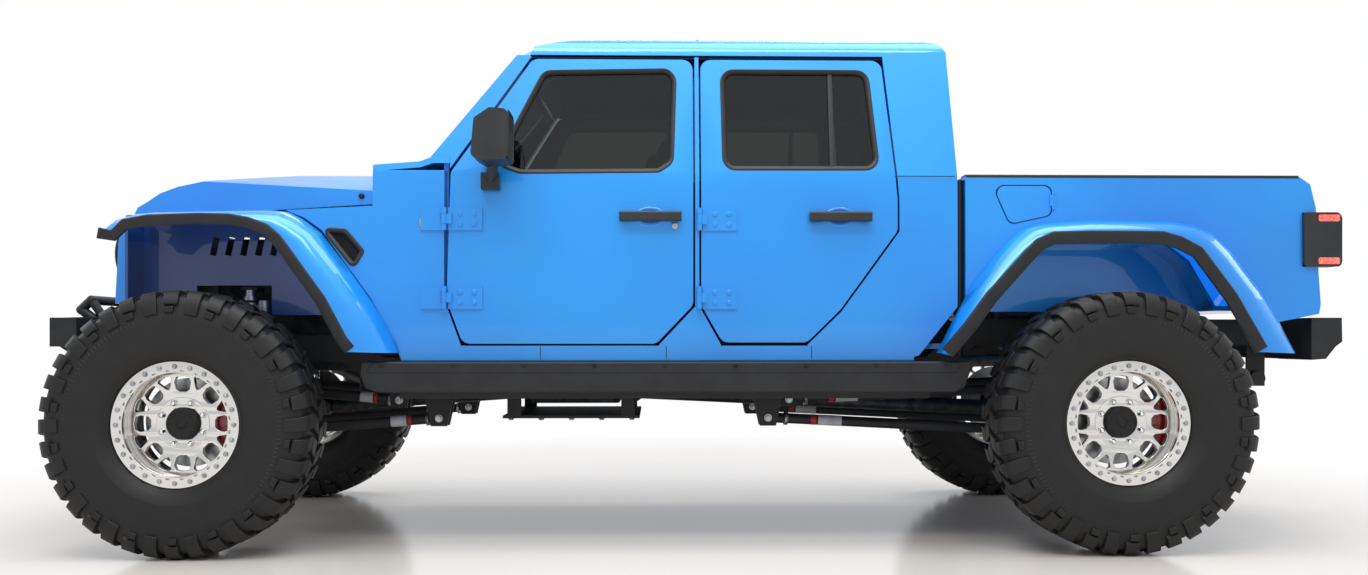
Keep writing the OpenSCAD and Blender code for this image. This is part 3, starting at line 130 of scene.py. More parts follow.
# sealed concrete: pale and smooth enough to mirror the tyres softly; it fades into the white room behind
def makeFloor(colour="#E2DCD5", patch="#D8D2CA", reach=24.0, fadeFrom=3.0, fadeTo=4.9):
    mesh = bpy.data.meshes.new("floor")
    mesh.from_pydata([(-reach, -reach, 0), (reach, -reach, 0), (reach, reach, 0), (-reach, reach, 0)], [],
                     [(0, 1, 2, 3)])
    floor = bpy.data.objects.new("floor", mesh)
    bpy.context.scene.collection.objects.link(floor)
    material = bpy.data.materials.new("sealedConcrete")
    material.use_nodes = True
    tree = material.node_tree
    tree.nodes.clear()
    place = addNode(tree, "TexCoord").outputs["Object"]
    cloud = addNode(tree, "TexNoise", {"Vector": place, "Scale": 0.8, "Detail": 4.0})
    tint = addNode(tree, "MixRGB", {0: cloud.outputs["Fac"], 1: toLinear(colour), 2: toLinear(patch)})
    lit = addNode(tree, "BsdfPrincipled", {"Base Color": tint.outputs[0], "Roughness": 0.16})
    away = addNode(tree, "VectorMath", {0: place}, operation="LENGTH")
    ends = {"Value": away.outputs["Value"], "From Min": fadeFrom, "From Max": fadeTo}
    fade = addNode(tree, "MapRange", ends, interpolation_type="SMOOTHSTEP")
    path = addNode(tree, "LightPath")
    seen = addNode(tree, "Math", {0: path.outputs["Is Camera Ray"], 1: path.outputs["Is Glossy Ray"]},
                   operation="MAXIMUM")
    through = addNode(tree, "Math", {0: seen.outputs[0], 1: path.outputs["Is Transmission Ray"]},
                      operation="MAXIMUM")
    amount = addNode(tree, "Math", {0: fade.outputs[0], 1: through.outputs[0]}, operation="MULTIPLY")
    white = addNode(tree, "Emission", {"Color": (1, 1, 1, 1), "Strength": 1.0})
    mixed = addNode(tree, "MixShader", {0: amount.outputs[0], 1: lit.outputs[0], 2: white.outputs[0]})
    addNode(tree, "OutputMaterial", {"Surface": mixed.outputs[0]})
    mesh.materials.append(material)


makeWorld()
makeLamps()
makeFloor()
print("camera, lamps and floor set")


# a principled surface with its plain values, and a place socket for patterns
def startMaterial(name, **sockets):
    material = bpy.data.materials.new(name)
    material.use_nodes = True
    tree = material.node_tree
    tree.nodes.clear()
    names = {key: re.sub("([A-Z])", r" \1", key).title() for key in sockets}
    values = {names[key].replace("Ior", "IOR"): value for key, value in sockets.items()}
    surface = addNode(tree, "BsdfPrincipled", values)
    addNode(tree, "OutputMaterial", {"Surface": surface.outputs[0]})
    place = addNode(tree, "TexCoord").outputs["Object"]
    material.diffuse_color = surface.inputs["Base Color"].default_value
    return material, tree, surface, place


def perMetre(size):  # the texture scale at which one cell of a pattern is that many millimetres
    return 1000 / size


def twoTone(tree, fac, first, second, low=0.35, high=0.65):  # a colour ramp between two hex colours
    ramp = addNode(tree, "ValToRGB", {"Fac": fac})
    ramp.color_ramp.elements[0].position = low
    ramp.color_ramp.elements[0].color = toLinear(first)
    ramp.color_ramp.elements[1].position = high
    ramp.color_ramp.elements[1].color = toLinear(second)
    return ramp.outputs["Color"]


def roughen(tree, surface, fac, low, high):
    spread = addNode(tree, "MapRange", {"Value": fac, "To Min": low, "To Max": high})
    tree.links.new(spread.outputs[0], surface.inputs["Roughness"])


def emboss(tree, surface, height, depth, strength=1.0):  # depth in millimetres
    bump = addNode(tree, "Bump", {"Height": height, "Distance": depth * mm, "Strength": strength})
    tree.links.new(bump.outputs[0], surface.inputs["Normal"])


# car body enamel: sprayed colour under a clear lacquer; the lacquer mirrors the room sharply over a soft base
def carEnamel(name, colour, deeper, flake=0.0):
    material, tree, surface, place = startMaterial(
        name, roughness=0.38, metallic=flake, coatWeight=1.0, coatRoughness=0.025, coatIor=1.5)
    drift = addNode(tree, "TexNoise", {"Vector": place, "Scale": 0.9, "Detail": 2.0})
    tree.links.new(twoTone(tree, drift.outputs["Fac"], colour, deeper), surface.inputs["Base Color"])
    # orange peel: low swells 9 mm apart, drawn stronger than real so that they show in reflections
    peel = addNode(tree, "TexNoise", {"Vector": place, "Scale": perMetre(9), "Detail": 1.0})
    lacquer = addNode(tree, "Bump", {"Height": peel.outputs["Fac"], "Distance": 0.04 * mm, "Strength": 0.5})
    tree.links.new(lacquer.outputs[0], surface.inputs["Coat Normal"])
    return material


# textured powder coat on steel: a fine pimpled skin that scatters light, slightly paler where it has rubbed
def powderCoat(name, colour="#121316", worn="#1C1E21", roughness=0.55):
    material, tree, surface, place = startMaterial(name, roughness=roughness, specularIorLevel=0.45)
    patches = addNode(tree, "TexNoise", {"Vector": place, "Scale": perMetre(70), "Detail": 5.0})
    tree.links.new(twoTone(tree, patches.outputs["Fac"], colour, worn), surface.inputs["Base Color"])
    # real pimples are 0.5 mm; drawn 3 mm so that they show
    pimples = addNode(tree, "TexNoise", {"Vector": place, "Scale": perMetre(3), "Detail": 2.0})
    emboss(tree, surface, pimples.outputs["Fac"], 0.5, 0.6)
    roughen(tree, surface, patches.outputs["Fac"], roughness - 0.1, roughness + 0.12)
    return material


# moulded plastic or rubber: a leathery grain in the mould, dull and even
def mouldedSkin(name, colour, shade, roughness, grain=2.5, depth=0.25):
    material, tree, surface, place = startMaterial(name, roughness=roughness)
    cells = addNode(tree, "TexVoronoi", {"Vector": place, "Scale": perMetre(grain)})
    patches = addNode(tree, "TexNoise", {"Vector": place, "Scale": perMetre(120), "Detail": 4.0})
    tree.links.new(twoTone(tree, patches.outputs["Fac"], colour, shade), surface.inputs["Base Color"])
    emboss(tree, surface, cells.outputs["Distance"], depth, 0.5)
    roughen(tree, surface, patches.outputs["Fac"], roughness - 0.07, roughness + 0.07)
    return material


# tyre rubber: carbon black compound, matt with a faint dressed sheen, paler with dust low in the pattern
def tyreCompound():
    material, tree, surface, place = startMaterial("tyreCompound", specularIorLevel=0.4)
    dust = addNode(tree, "TexNoise", {
        "Vector": place, "Scale": perMetre(60), "Detail": 6.0, "Roughness": 0.65})
    shades = twoTone(tree, dust.outputs["Fac"], "#0E0E0F", "#191919", 0.3, 0.75)
    tree.links.new(shades, surface.inputs["Base Color"])
    roughen(tree, surface, dust.outputs["Fac"], 0.42, 0.68)
    # mould marks and scuffs, about 4 mm across
    scuff = addNode(tree, "TexNoise", {"Vector": place, "Scale": perMetre(4), "Detail": 4.0})
    emboss(tree, surface, scuff.outputs["Fac"], 0.6, 0.5)
    return material


# polished aluminium: turned and buffed, so fine rings and small smears break up a mirror
def polishedAluminium(name="polishedAluminium", colour="#DEDCD8", roughness=0.13):
    material, tree, surface, place = startMaterial(name, metallic=1.0, baseColor=toLinear(colour))
    smear = addNode(tree, "TexNoise", {"Vector": place, "Scale": perMetre(22), "Detail": 5.0})
    roughen(tree, surface, smear.outputs["Fac"], roughness - 0.05, roughness + 0.12)
    # hammered unevenness left by the forging, 14 mm apart
    dents = addNode(tree, "TexNoise", {"Vector": place, "Scale": perMetre(14), "Detail": 1.0})
    emboss(tree, surface, dents.outputs["Fac"], 0.25, 0.35)
    return material


# bare or plated steel and cast iron: metal with a grainy skin
def bareMetal(name, colour, shade, roughness, grain=4):
    material, tree, surface, place = startMaterial(name, metallic=1.0)
    patches = addNode(tree, "TexNoise", {"Vector": place, "Scale": perMetre(35), "Detail": 6.0})
    tree.links.new(twoTone(tree, patches.outputs["Fac"], colour, shade), surface.inputs["Base Color"])
    skin = addNode(tree, "TexNoise", {"Vector": place, "Scale": perMetre(grain), "Detail": 3.0})
    emboss(tree, surface, skin.outputs["Fac"], 0.4, 0.4)
    roughen(tree, surface, patches.outputs["Fac"], roughness - 0.08, roughness + 0.14)
    return material


# privacy glass: float glass tinted grey-green in the melt, so the cabin only just shows through two panes
def privacyGlass(name="privacyGlass", tint="#58635F"):
    material, tree, surface, place = startMaterial(name, roughness=0.0, transmissionWeight=1.0, ior=1.5,
                                                   specularIorLevel=0.25, baseColor=toLinear(tint))
    wave = addNode(tree, "TexNoise", {"Vector": place, "Scale": perMetre(500), "Detail": 0.0})
    emboss(tree, surface, wave.outputs["Fac"], 0.3, 0.2)
    return material


# moulded polycarbonate lens with flutes, lit from behind where it glows
def lampLens(name, colour, glow=0.0, flute=7.0, transmission=0.85):
    material, tree, surface, place = startMaterial(
        name, roughness=0.06, transmissionWeight=transmission, ior=1.58,
        baseColor=toLinear(colour), emissionStrength=glow)
    flutes = addNode(tree, "TexVoronoi", {"Vector": place, "Scale": perMetre(flute)})
    emboss(tree, surface, flutes.outputs["Distance"], 0.8, 0.5)
    if glow:
        tree.links.new(twoTone(tree, flutes.outputs["Distance"], colour, "#FF7060", 0.1, 0.9),
                       surface.inputs["Emission Color"])
    return material


# bull hide stretched over foam: pebbled grain with a soft finish
def seatHide(name="seatHide", colour="#17181A", crease="#232528"):
    material, tree, surface, place = startMaterial(name, sheenWeight=0.08, sheenRoughness=0.4)
    pebbles = addNode(tree, "TexVoronoi", {"Vector": place, "Scale": perMetre(5)})
    patches = addNode(tree, "TexNoise", {"Vector": place, "Scale": perMetre(90), "Detail": 3.0})
    tree.links.new(twoTone(tree, patches.outputs["Fac"], colour, crease), surface.inputs["Base Color"])
    emboss(tree, surface, pebbles.outputs["Distance"], 0.5, 0.6)
    roughen(tree, surface, patches.outputs["Fac"], 0.42, 0.6)
    return material


finish = {
    "body_paint": carEnamel("bodyEnamel", "#0495EC", "#0382DE", 0.25),
    # a darker copy of the body enamel: painted shade, used in the wheel arches and the handle recesses
    "inner_paint": carEnamel("shadedEnamel", "#0B4A9A", "#083D86"),
    "black_coat": powderCoat("texturedPowderCoat"),
    "tinted_glass": privacyGlass(),
    "lamp_lens": lampLens("clearLens", "#F2F4F6"),
    "tail_lens": lampLens("redLens", "#E3121C", glow=2.2, transmission=0.2),
    "coil_paint": powderCoat("coilEnamel", "#26282B", "#34373B", 0.35),
    "damper_alloy": bareMetal("anodisedAlloy", "#A9ADB3", "#8C9197", 0.3),
    "cast_metal": bareMetal("castIron", "#4A4D50", "#38393C", 0.5),
    "tank_plastic": mouldedSkin("blownPolyethylene", "#1A1B1D", "#242629", 0.55, 3.5),
    "exhaust_steel": bareMetal("aluminisedSteel", "#8D8A86", "#6E6A66", 0.4),
    "seat_leather": seatHide(),
    "dash_plastic": mouldedSkin("grainedAbs", "#1B1C1E", "#232528", 0.6),
    "mirror_plastic": mouldedSkin("grainedMirrorPlastic", "#1D1E20", "#26282B", 0.45, 1.8),
    "tyre_rubber": tyreCompound(),
    "wheel_alloy": polishedAluminium(),
}
extra = {
    "sealRubber": mouldedSkin("extrudedRubber", "#101112", "#1A1B1C", 0.5, 2.0, 0.1),
    "zinc": bareMetal("zincPlatedSteel", "#B9BBBD", "#94979A", 0.3),
    "blackOxide": bareMetal("blackOxideSteel", "#2A2B2D", "#3A3B3D", 0.42),
    "silverMirror": polishedAluminium("silveredMirror", "#E9ECEE", 0.06),
    "caliperRed": carEnamel("caliperEnamel", "#A3121B", "#8A0E16"),
    "reservoir": bareMetal("brushedAlloy", "#C8CBD0", "#A7ABB1", 0.34),
    "headliner": mouldedSkin("headlinerFelt", "#3A3C40", "#45484C", 0.9, 2.0),
    "amber": lampLens("amberLens", "#E8861A", transmission=0.5),
    "arrayLens": lampLens("whiteLens", "#E9EDF2", transmission=0.5),
    "redSilk": powderCoat("redStripeInk", "#B0222A", "#9A1C24", 0.4),
    "greySilk": powderCoat("greyStripeInk", "#B7BABD", "#A3A6A9", 0.4),
    "mattBlack": powderCoat("mattBlackPaint", "#0E0F10", "#161718", 0.7),
    "carpet": mouldedSkin("needledCarpet", "#202225", "#17181A", 0.95, 3.0, 0.8),
}
print("materials made:", len(finish) + len(extra))


# CAD nodes: each keeps its shape, gets its finish, and its edges are eased as a real pressing's are
nodeFinish = {  # node: (material slot, edge radius in millimetres)
    "cab_tub": ("body_paint", 3), "hardtop": ("body_paint", 9), "windshield_frame": ("body_paint", 6),
    "front_fenders": ("body_paint", 7), "rear_fenders": ("body_paint", 7), "bed_box": ("body_paint", 4),
    "hood": ("body_paint", 7), "tailgate": ("body_paint", 6), "fuel_door": ("body_paint", 1.2),
    "door_front_left": ("body_paint", 3), "door_front_right": ("body_paint", 3),
    "door_rear_left": ("body_paint", 3), "door_rear_right": ("body_paint", 3),
    # the inner fenders are really blue; their darker enamel is painted shade under the fenders
    "grille": ("body_paint", 5), "inner_fenders": ("inner_paint", 4),
    "frame": ("black_coat", 3), "front_bumper": ("black_coat", 5), "rear_bumper": ("black_coat", 6),
    "rock_sliders": ("black_coat", 6), "front_axle": ("black_coat", 3), "rear_axle": ("black_coat", 3),
    "control_arms": ("black_coat", 2), "knuckle_left": ("cast_metal", 3), "knuckle_right": ("cast_metal", 3),
    "tie_rod": ("black_coat", 1.5), "drag_link": ("black_coat", 1.5), "pitman_arm": ("cast_metal", 2),
    "shock_absorbers": ("damper_alloy", 2), "powertrain": ("cast_metal", 12), "driveshafts": ("cast_metal", 2),
    "fuel_tank": ("tank_plastic", 14), "exhaust": ("exhaust_steel", 1.5), "dashboard": ("dash_plastic", 8),
    "taillights": ("mirror_plastic", 4), "headlights": ("lamp_lens", 3),
    "fixed_glass": ("tinted_glass", 0),
    "glass_front_left": ("tinted_glass", 0), "glass_front_right": ("tinted_glass", 0),
    "glass_rear_left": ("tinted_glass", 0), "glass_rear_right": ("tinted_glass", 0),
    "mirror_left": ("mirror_plastic", 8), "mirror_right": ("mirror_plastic", 8),
    "steering_wheel": ("dash_plastic", 1),
}


def easeEdges(piece, radius, segments=2, angle=32):  # weld, round the sharp edges and keep flats flat
    weld = piece.modifiers.new("weld", "WELD")
    weld.merge_threshold = 0.00002
    if radius:
        bevel = piece.modifiers.new("easedEdge", "BEVEL")
        bevel.width = radius * mm
        bevel.segments = segments
        bevel.limit_method = "ANGLE"
        bevel.angle_limit = math.radians(angle)
        bevel.use_clamp_overlap = True
        bevel.harden_normals = True
    piece.data.shade_smooth()
    flat = piece.modifiers.new("evenNormals", "WEIGHTED_NORMAL")
    flat.keep_sharp = True


def finishNode(name, slotName, radius):
    node = nodes[name]
    node.data.materials.clear()
    node.data.materials.append(finish[slotName])
    if radius:
        easeEdges(node, radius)


for nodeName, (slotName, radius) in nodeFinish.items():
    finishNode(nodeName, slotName, radius)
print("CAD nodes finished:", len(nodeFinish))


# building blocks for the small parts
def addPiece(name, mesh, body, material, place=None):
    piece = bpy.data.objects.new(name, mesh)
    bpy.context.scene.collection.objects.link(piece)
    if material:
        mesh.materials.append(material)
    if place is not None:
        piece.matrix_world = place
    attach(piece, body)
    return piece


def meshOf(name, build):  # a mesh filled by a function that works on a bmesh, with its faces turned outwards
    bm = bmesh.new()
    build(bm)
    bmesh.ops.remove_doubles(bm, verts=bm.verts, dist=0.00002)
    bmesh.ops.recalc_face_normals(bm, faces=bm.faces)
    mesh = bpy.data.meshes.new(name)
    bm.to_mesh(mesh)
    bm.free()
    return mesh


def addRings(bm, rings, closed=True, capped=True, joined=False):  # skin over rings of points
    made = [[bm.verts.new(p) for p in ring] for ring in rings]
    pairs = list(zip(made, made[1:])) + ([(made[-1], made[0])] if joined else [])
    for low, high in pairs:
        count = len(low)
        for i in range(count if closed else count - 1):
            k = (i + 1) % count
            bm.faces.new((low[i], low[k], high[k], high[i]))
    if capped and not joined:
        bm.faces.new(made[0])
        bm.faces.new(list(reversed(made[-1])))
    return made


def addBlock(bm, low, high, turn=None):  # a box between two corners, turned by a matrix if given
    turn = turn or Matrix.Identity(4)
    corners = ((low[0], low[1]), (high[0], low[1]), (high[0], high[1]), (low[0], high[1]))
    addRings(bm, [[turn @ Vector((x, y, z)) for x, y in corners] for z in (low[2], high[2])])


def blockOf(bm, low, high, turn=None):  # the same in millimetres, its corners in any order across the vehicle
    y0, y1 = sorted((low[1], high[1]))
    addBlock(bm, spot(low[0], y0, low[2]), spot(high[0], y1, high[2]), turn)


def addDrum(bm, centre, axis, radii, places, sides=24):  # a turned form: radii at places along an axis
    turn = Vector((0, 0, 1)).rotation_difference(Vector(axis)).to_matrix()
    rings = []
    for radius, place in zip(radii, places):
        rings.append([Vector(centre) + turn @ Vector((radius * math.cos(a), radius * math.sin(a), place))
                      for a in (math.tau * i / sides for i in range(sides))])
    addRings(bm, rings)


def drumOf(bm, centre, axis, radii, places, sides=24):  # the same in millimetres, about a centre in metres
    addDrum(bm, centre, axis, [v * mm for v in radii], [v * mm for v in places], sides)


def spot(*place):  # a point given in millimetres
    return Vector(place) * mm


# a hexagon head on a washer, its size across flats
def addBolt(bm, centre, axis, size, height=None, washer=True):
    height = height or size * 0.55
    turn = Vector((0, 0, 1)).rotation_difference(Vector(axis)).to_matrix()
    spin = random.random()
    if washer:
        addDrum(bm, centre, axis, (size * 0.78, size * 0.78, size * 0.72), (0, size * 0.1, size * 0.16), 16)
    rings = []
    for radius, place in ((0.577, 0), (0.577, 0.8), (0.5, 1.0)):
        rings.append([Vector(centre) + turn @ Vector((size * radius * math.cos(a), size * radius * math.sin(a),
                                                      size * 0.12 + height * place))
                      for a in (math.tau * (i / 6 + spin) for i in range(6))])
    addRings(bm, rings)


def arcThrough(points, radius, steps=5, closed=True):  # a run of points with each corner rounded
    out = []
    count = len(points)
    for i, point in enumerate(points):
        point = Vector(point)
        if not closed and i in (0, count - 1):
            out.append(point)
            continue
        before, after = Vector(points[i - 1]) - point, Vector(points[(i + 1) % count]) - point
        half = before.angle(after) / 2
        reach = min(radius / max(math.tan(half), 1e-3), before.length * 0.45, after.length * 0.45)
        start, end = point + before.normalized() * reach, point + after.normalized() * reach
        for k in range(steps + 1):
            t = k / steps
            out.append(start * (1 - t) ** 2 + point * 2 * t * (1 - t) + end * t ** 2)
    return out


def sweep(bm, path, section, closed=False, up=Vector((0, 0, 1)), capped=True):
    # a section of (sideways, upwards) points carried along a path, kept upright
    rings = []
    count = len(path)
    for i, point in enumerate(path):
        if closed:
            way = Vector(path[(i + 1) % count]) - Vector(path[i - 1])
        else:
            way = Vector(path[min(i + 1, count - 1)]) - Vector(path[max(i - 1, 0)])
        way.normalize()
        side = way.cross(up)
        side = side.normalized() if side.length > 1e-4 else Vector((1, 0, 0))
        top = side.cross(way)
        rings.append([Vector(point) + side * u + top * v for u, v in section])
    addRings(bm, rings, capped=capped and not closed, joined=closed)


def roundSection(radius, sides=10):
    steps = [math.tau * i / sides for i in range(sides)]
    return [(radius * math.cos(a), radius * math.sin(a)) for a in steps]


def boxSection(width, height, chamfer):
    w, h, c = width / 2, height / 2, chamfer
    return [(w, h - c), (w - c, h), (-w + c, h), (-w, h - c),
            (-w, -h + c), (-w + c, -h), (w - c, -h), (w, -h + c)]


# a flat plate from closed outlines, the first its edge and the rest its windows; it faces +y from low to high
def plateMesh(name, outlines, low, high, edge, segments=2, shape=None):
    curve = bpy.data.curves.new(name, "CURVE")
    curve.dimensions = "2D"
    curve.fill_mode = "BOTH"
    curve.extrude = (high - low) / 2 * mm - edge * mm
    curve.bevel_depth = edge * mm
    curve.bevel_resolution = segments - 1
    curve.offset = -edge * mm
    for outline in outlines:
        spline = curve.splines.new("POLY")
        spline.points.add(len(outline) - 1)
        for point, (u, v) in zip(spline.points, outline):
            point.co = (u * mm, v * mm, 0, 1)
        spline.use_cyclic_u = True
    holder = bpy.data.objects.new(name, curve)
    bpy.context.scene.collection.objects.link(holder)
    bpy.context.view_layer.update()
    mesh = bpy.data.meshes.new_from_object(holder.evaluated_get(bpy.context.evaluated_depsgraph_get()))
    bpy.data.objects.remove(holder)
    for vertex in mesh.vertices:
        u, v, w = vertex.co
        vertex.co = (u, w + (low + high) / 2 * mm, v)
        if shape:
            shape(vertex)
    bm = bmesh.new()
    bm.from_mesh(mesh)
    bmesh.ops.remove_doubles(bm, verts=bm.verts, dist=0.00001)
    bmesh.ops.recalc_face_normals(bm, faces=bm.faces)
    bm.to_mesh(mesh)
    bm.free()
    mesh.name = name
    mesh.materials.clear()
    return mesh


def turned(outline, angle):
    c, s = math.cos(angle), math.sin(angle)
    return [(u * c - v * s, u * s + v * c) for u, v in outline]


def lathe(bm, profile, steps=96):  # a closed (y, radius) profile in millimetres, turned about the y axis
    rings = []
    for i in range(steps):
        a = math.tau * i / steps
        rings.append([spot(r * math.cos(a), y, r * math.sin(a)) for y, r in profile])
    addRings(bm, rings, joined=True)


def joinParts(name, parts):  # one mesh from several, each with its own material
    bm = bmesh.new()
    mesh = bpy.data.meshes.new(name)
    for index, (part, material) in enumerate(parts):
        first = len(bm.faces)
        bm.from_mesh(part)
        bm.faces.ensure_lookup_table()
        for face in bm.faces[first:]:
            face.material_index = index
        mesh.materials.append(material)
    bm.to_mesh(mesh)
    bm.free()
    return mesh


tyreSet = dict(
    pitches=36, lugSpan=6.3, blockSpan=6.8, lean=1.6, chevron=3.0, draft=1.4, edge=1.6, flutes=150,
    carcass=[(103, 226), (103, 241), (122, 243), (131, 251), (133, 258), (146, 268), (156, 292), (158.5, 296),
             (160.5, 302), (163, 330), (163, 352), (161.5, 354), (161.5, 388), (162.5, 391), (160, 408),
             (155, 430), (149, 452), (142, 470), (130, 482), (110, 489), (60, 493), (20, 494)],
    longTop=[(72, 507.4), (112, 507), (136, 500), (152, 482), (162, 452), (164.6, 428), (164.4, 420)],
    longBase=[(72, 486), (110, 483), (130, 475), (143, 460), (152, 436), (155, 424), (156, 416)],
    shortTop=[(72, 507.4), (112, 507), (136, 500), (153, 481), (160, 462), (160.5, 456)],
    shortBase=[(72, 486), (110, 483), (130, 475), (143, 460), (148, 450), (149, 446)],
    nubTop=[(163.6, 446), (164.8, 424)], nubBase=[(150, 448), (157, 420)],
    blockTop=[(6, 508), (34, 508), (63, 507.6)], blockBase=[(6, 488), (34, 488), (63, 487)],
)


def addLug(bm, top, base, start, end, leanPerMm, side):
    # a rubber block along a path over the shoulder, between two angles in degrees
    rings = []
    draft = math.degrees(tyreSet["draft"] / 500)
    for (topY, topR), (baseY, baseR) in zip(top, base):
        shift = leanPerMm * (topY - top[0][0])
        corners = ((start + shift - draft, baseY, baseR), (start + shift, topY, topR),
                   (end + shift, topY, topR), (end + shift + draft, baseY, baseR))
        rings.append([spot(r * math.cos(math.radians(a)), side * y, r * math.sin(math.radians(a)))
                      for a, y, r in corners])
    addRings(bm, rings)


def buildTyre(bm):
    half = tyreSet["carcass"]
    lathe(bm, half + [(-y, r) for y, r in reversed(half)], 144)
    pitch = 360 / tyreSet["pitches"]
    for side in (-1, 1):
        for i in range(tyreSet["pitches"]):
            at = pitch * (i + (0.5 if side > 0 else 0))
            top, base = ("longTop", "longBase") if i % 2 else ("shortTop", "shortBase")
            addLug(bm, tyreSet[top], tyreSet[base], at, at + tyreSet["lugSpan"], tyreSet["lean"] / 80, side)
            if i % 2 == 0:
                addLug(bm, tyreSet["nubTop"], tyreSet["nubBase"], at + 2.1, at + 6.2, 0, side)
            addLug(bm, tyreSet["blockTop"], tyreSet["blockBase"], at + 3.4, at + 3.4 + tyreSet["blockSpan"],
                   -tyreSet["chevron"] / 60, side)
        for i in range(tyreSet["flutes"]):
            at = 360 * i / tyreSet["flutes"]
            addLug(bm, [(163.2, 392), (161.6, 409)], [(159, 391), (156, 411)], at, at + 0.9, 0, side)


tyreMesh = meshOf("mudTyre", buildTyre)
tyreMesh.materials.append(finish["tyre_rubber"])


# wheels: polished face with windows, beadlock ring with its bolts, black cap
wheelSet = dict(
    bolts=24, boltCircle=220, boltSize=13, windows=8, faceLow=14, faceHigh=40, dish=10, ring=(104, 120),
    wide=[(122, -13), (131, -25), (158, -31), (178, -24), (182, 0),
          (178, 24), (158, 31), (131, 25), (122, 13)],
    narrow=[(139, 0), (145, 8), (178, 27), (187, 22), (190, 0), (187, -22), (178, -27), (145, -8)],
    slot=[(203, -7), (208, -7), (208, 7), (203, 7)], lugCircle=84, lugSize=21, capRadius=62,
)


def dishFace(vertex):  # the face sinks towards the hub
    reach = math.hypot(vertex.co.x, vertex.co.z) / mm
    t = min(max((reach - 95) / (185 - 95), 0), 1)
    vertex.co.y += wheelSet["dish"] * mm * (t * t * (3 - 2 * t) - 0.4)


def buildBarrel(bm):
    lathe(bm, [(-120, 214), (-120, 237), (-117, 240), (-112, 240), (-108, 236), (-106, 226),
               (98, 226), (104, 225), (104, 196), (99, 196), (96, 206), (60, 211), (44, 208),
               (20, 208), (10, 211), (-30, 200), (-60, 213), (-110, 213)])
    # hub pad, with its raised ring between the nuts and the windows
    lathe(bm, [(-60, 50), (-60, 78), (12, 78), (16, 103), (30, 104), (40, 101), (41, 97),
               (38, 72), (37, 60), (30, 50)], 64)


def buildRingBolts(bm):
    step = math.tau / wheelSet["bolts"]
    for i in range(wheelSet["bolts"]):
        turn = Matrix.Rotation(i * step, 4, "Y")
        place = turn @ Vector((wheelSet["boltCircle"] * mm, 0, 0))
        addBolt(bm, place + Vector((0, wheelSet["ring"][1] * mm, 0)), (0, 1, 0), wheelSet["boltSize"] * mm)


def buildLugNuts(bm):
    for i in range(wheelSet["windows"]):
        turn = Matrix.Rotation(math.tau * (i + 0.5) / wheelSet["windows"], 4, "Y")
        place = turn @ Vector((wheelSet["lugCircle"] * mm, 38 * mm, 0))
        drumOf(bm, place, (0, 1, 0), (13, 12, 10.6, 10.6, 7, 3), (0, 3, 3.4, 15, 20, 21), 12)


def buildCap(bm):
    r = wheelSet["capRadius"]
    lathe(bm, [(30, 0.4), (30, r - 4), (40, r), (52, r - 2), (55, r - 6), (56, r - 16),
               (53, r - 20), (53, 20), (57, 17), (59, 12), (59, 0.4)], 64)
    for i in range(8):
        turn = Matrix.Rotation(math.tau * i / 8, 4, "Y")
        addBolt(bm, turn @ Vector(((r - 11) * mm, 55.5 * mm, 0)), (0, 1, 0), 8 * mm, washer=False)


def buildDisc(bm):
    for low, high in ((-64, -56), (-44, -36)):
        lathe(bm, [(low, 84), (low, 171), (low + 1, 172), (high - 1, 172), (high, 171), (high, 84)], 72)
    for i in range(40):  # cooling vanes between the two plates
        addBlock(bm, spot(100, -56.5, -2), spot(170, -43.5, 2), Matrix.Rotation(math.tau * i / 40, 4, "Y"))


windowSteps = [math.tau * i / wheelSet["windows"] for i in range(wheelSet["windows"])]
faceOutlines = [roundSection(210, 96), roundSection(52, 48)]
faceOutlines += [turned(wheelSet["wide"], a) for a in windowSteps]
faceOutlines += [turned(wheelSet["narrow"], a + math.pi / 8) for a in windowSteps]
slotSteps = [math.tau * (i + 0.5) / wheelSet["bolts"] for i in range(wheelSet["bolts"])]
ringOutlines = [roundSection(240, 96), roundSection(197, 96)]
ringOutlines += [turned(wheelSet["slot"], a) for a in slotSteps]
wheelMesh = joinParts("alloyWheel", [
    (plateMesh("face", faceOutlines, wheelSet["faceLow"], wheelSet["faceHigh"], 2.5, 3, dishFace),
     finish["wheel_alloy"]),
    (plateMesh("beadlockRing", ringOutlines, *wheelSet["ring"], 1.6), finish["wheel_alloy"]),
    (meshOf("barrel", buildBarrel), finish["wheel_alloy"]),
    (meshOf("ringBolts", buildRingBolts), extra["zinc"]),
    (meshOf("lugNuts", buildLugNuts), extra["silverMirror"]),
    (meshOf("cap", buildCap), extra["mattBlack"]),
])
discMesh = meshOf("brakeDisc", buildDisc)
discMesh.materials.append(extra["zinc"])


def fitWheels():
    for end in ("front", "rear"):
        for sideName, side in sides.items():
            corner = end + "_" + sideName
            body = "wheel_" + corner
            at = Matrix.Translation(pivots[body + "_spin"])
            if side < 0:
                at = at @ Matrix.Rotation(math.pi, 4, "Z")
            tyre = addPiece("tread_" + corner, tyreMesh, body, None, at)
            easeEdges(tyre, tyreSet["edge"], 1, 50)
            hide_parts("tyre_" + corner)
            wheel = addPiece("alloy_" + corner, wheelMesh, body, None, at)
            easeEdges(wheel, 0.8, 1, 50)
            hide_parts("wheel_" + corner)
            addPiece("disc_" + corner, discMesh, body, None, at)


fitWheels()
print("tyres and wheels fitted")
# outside trim of the body
# the body side as pressed: a slight bow below the belt line and a straight lean above it, in millimetres
bodySide = dict(half=800, bow=7, bowAt=1150, bowSpan=400, belt=1490, lean=0.2)


def skinOut(z):
    low = (min(z, bodySide["belt"]) - bodySide["bowAt"]) / bodySide["bowSpan"]
    return bodySide["half"] - bodySide["bow"] * low ** 2 - max(z - bodySide["belt"], 0) * bodySide["lean"]


def onSide(x, z, out, side):  # a point that far out from the body side
    return spot(x, side * (skinOut(z) + out), z)


